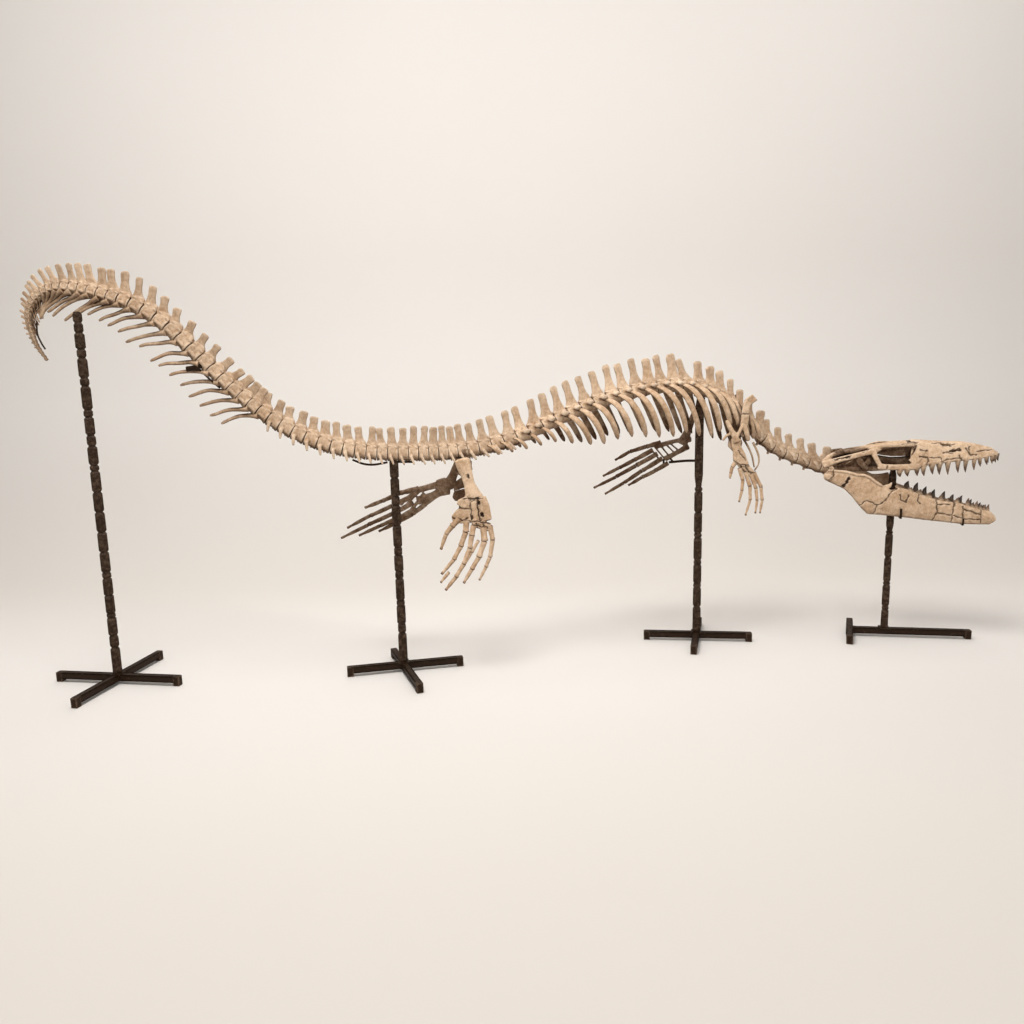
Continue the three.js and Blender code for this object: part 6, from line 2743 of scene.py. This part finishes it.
@dataclass
class Studio:
    """Pale floor that curves up into a wall, soft light and the camera."""

    camera_place: Vector = field(default_factory=lambda: Vector((-0.085, -3.515, 1.300)))
    look_down: float = math.radians(10)
    roll: float = math.radians(1.41)
    lens: float = 28.65
    wall: float = 3.4
    bend: float = 2.2

    def _backdrop(self) -> None:
        """Makes the floor and the wall in one smooth sweep."""
        profile = [(-9.0, 0.0), (self.wall - self.bend, 0.0)]
        for i in range(1, 25):
            t = math.pi / 2 * i / 24
            profile.append((self.wall - self.bend + self.bend * math.sin(t), self.bend * (1 - math.cos(t))))
        profile.append((self.wall, 9.0))
        points = [(x, y, z) for y, z in profile for x in (-11.0, 11.0)]
        faces = [(2 * i, 2 * i + 1, 2 * i + 3, 2 * i + 2) for i in range(len(profile) - 1)]
        mesh = bpy.data.meshes.new("studio_backdrop")
        mesh.from_pydata(points, [], faces)
        mesh.shade_smooth()
        piece = new_object("studio_backdrop", mesh)
        paint(piece, BackdropFinish().make())

    def _softbox(self, name: str, place: Vector, target: Vector, size: float, power: float) -> None:
        """Adds a large square light.

        Args:
            name: Its name.
            place: Its place.
            target: Where it points.
            size: Its side.
            power: Its power in watts.
        """
        light = bpy.data.lights.new(name, "AREA")
        light.shape = "SQUARE"
        light.size = size
        light.energy = power
        light.color = (1.0, 0.98, 0.955)
        lamp = bpy.data.objects.new(name, light)
        lamp.location = place
        lamp.rotation_euler = (target - place).to_track_quat("-Z", "Y").to_euler()
        bpy.context.scene.collection.objects.link(lamp)

    def _camera(self) -> None:
        """Sets the camera as the photograph was taken."""
        ahead = Vector((0, math.cos(self.look_down), -math.sin(self.look_down)))
        above = Vector((0, math.sin(self.look_down), math.cos(self.look_down)))
        right = FORWARD * math.cos(self.roll) - above * math.sin(self.roll)
        up = FORWARD * math.sin(self.roll) + above * math.cos(self.roll)
        data = bpy.data.cameras.new("studio_camera")
        data.sensor_width = 36.0
        data.lens = self.lens
        data.clip_end = 60.0
        camera = bpy.data.objects.new("studio_camera", data)
        turn = Matrix((right, up, -ahead)).transposed().to_4x4()
        camera.matrix_world = Matrix.Translation(self.camera_place) @ turn
        bpy.context.scene.collection.objects.link(camera)
        bpy.context.scene.camera = camera

    def build(self) -> None:
        """Makes the studio."""
        self._backdrop()
        middle = Vector((0, 0, 1.0))
        self._softbox("key_softbox", Vector((-1.0, -1.6, 5.4)), middle, 2.4, 200)
        self._softbox("top_softbox", Vector((0.6, -0.3, 6.2)), Vector((0.6, 0.3, 0.0)), 4.5, 75)
        self._softbox("front_softbox", Vector((1.0, -6.0, 2.6)), Vector((0, 2.5, 1.9)), 3.5, 75)
        for side in (-1, 1):
            self._softbox("wall_softbox", Vector((3.6 * side, 0.7, 4.8)), Vector((4.2 * side, 3.6, 1.5)), 3.0,
                          26)
        world = bpy.data.worlds.new("studio_air")
        world.use_nodes = True
        world.node_tree.nodes["Background"].inputs["Color"].default_value = (1.0, 0.975, 0.945, 1)
        world.node_tree.nodes["Background"].inputs["Strength"].default_value = 0.22
        bpy.context.scene.world = world
        bpy.context.scene.view_settings.view_transform = "Standard"
        self._camera()


def clear_workbench() -> None:
    """Removes the shapes that rows picked from, and what else no object uses."""
    for group in list(bpy.data.collections):
        for shape in list(group.objects):
            if group.name in {"vertebra_bodies", "blades", "phalanges", "post_segments", "teeth"}:
                bpy.data.objects.remove(shape)
        if not group.objects and not group.children:
            bpy.data.collections.remove(group)
    for piece in list(bpy.data.objects):
        if piece.type == "MESH" and not piece.users_scene:
            bpy.data.objects.remove(piece)
    for tree in [t for t in bpy.data.node_groups if t.bl_idname == "GeometryNodeTree"]:
        bpy.data.node_groups.remove(tree)


def main() -> None:
    """Builds the studio, the skeleton and its stands."""
    logging.basicConfig(level=logging.INFO, format="%(name)s: %(message)s")
    Studio().build()
    shelf = GroupShelf()
    spine = SpinePath(SPINE_POINTS)
    shop = Workshop(
        spine, StationTree(), SweepTree(), BoneFinish().make(shelf), ToothFinish().make(shelf),
        SteelFinish().make(shelf), lay_out_vertebrae(spine),
    )
    for part in (Column(shop), RibCage(shop), Chevrons(shop), Limbs(shop), Head(shop), Stands(shop)):
        LOG.info("building %s", type(part).__name__)
        part.build()
    clear_workbench()
    pieces = [p for p in bpy.context.scene.objects if p.type == "MESH" and p.name != "studio_backdrop"]
    # Paints shade where bones crowd together.
    CrowdShade().shade_crowded(pieces, shop.bone)


if __name__ == "__main__":
    main()
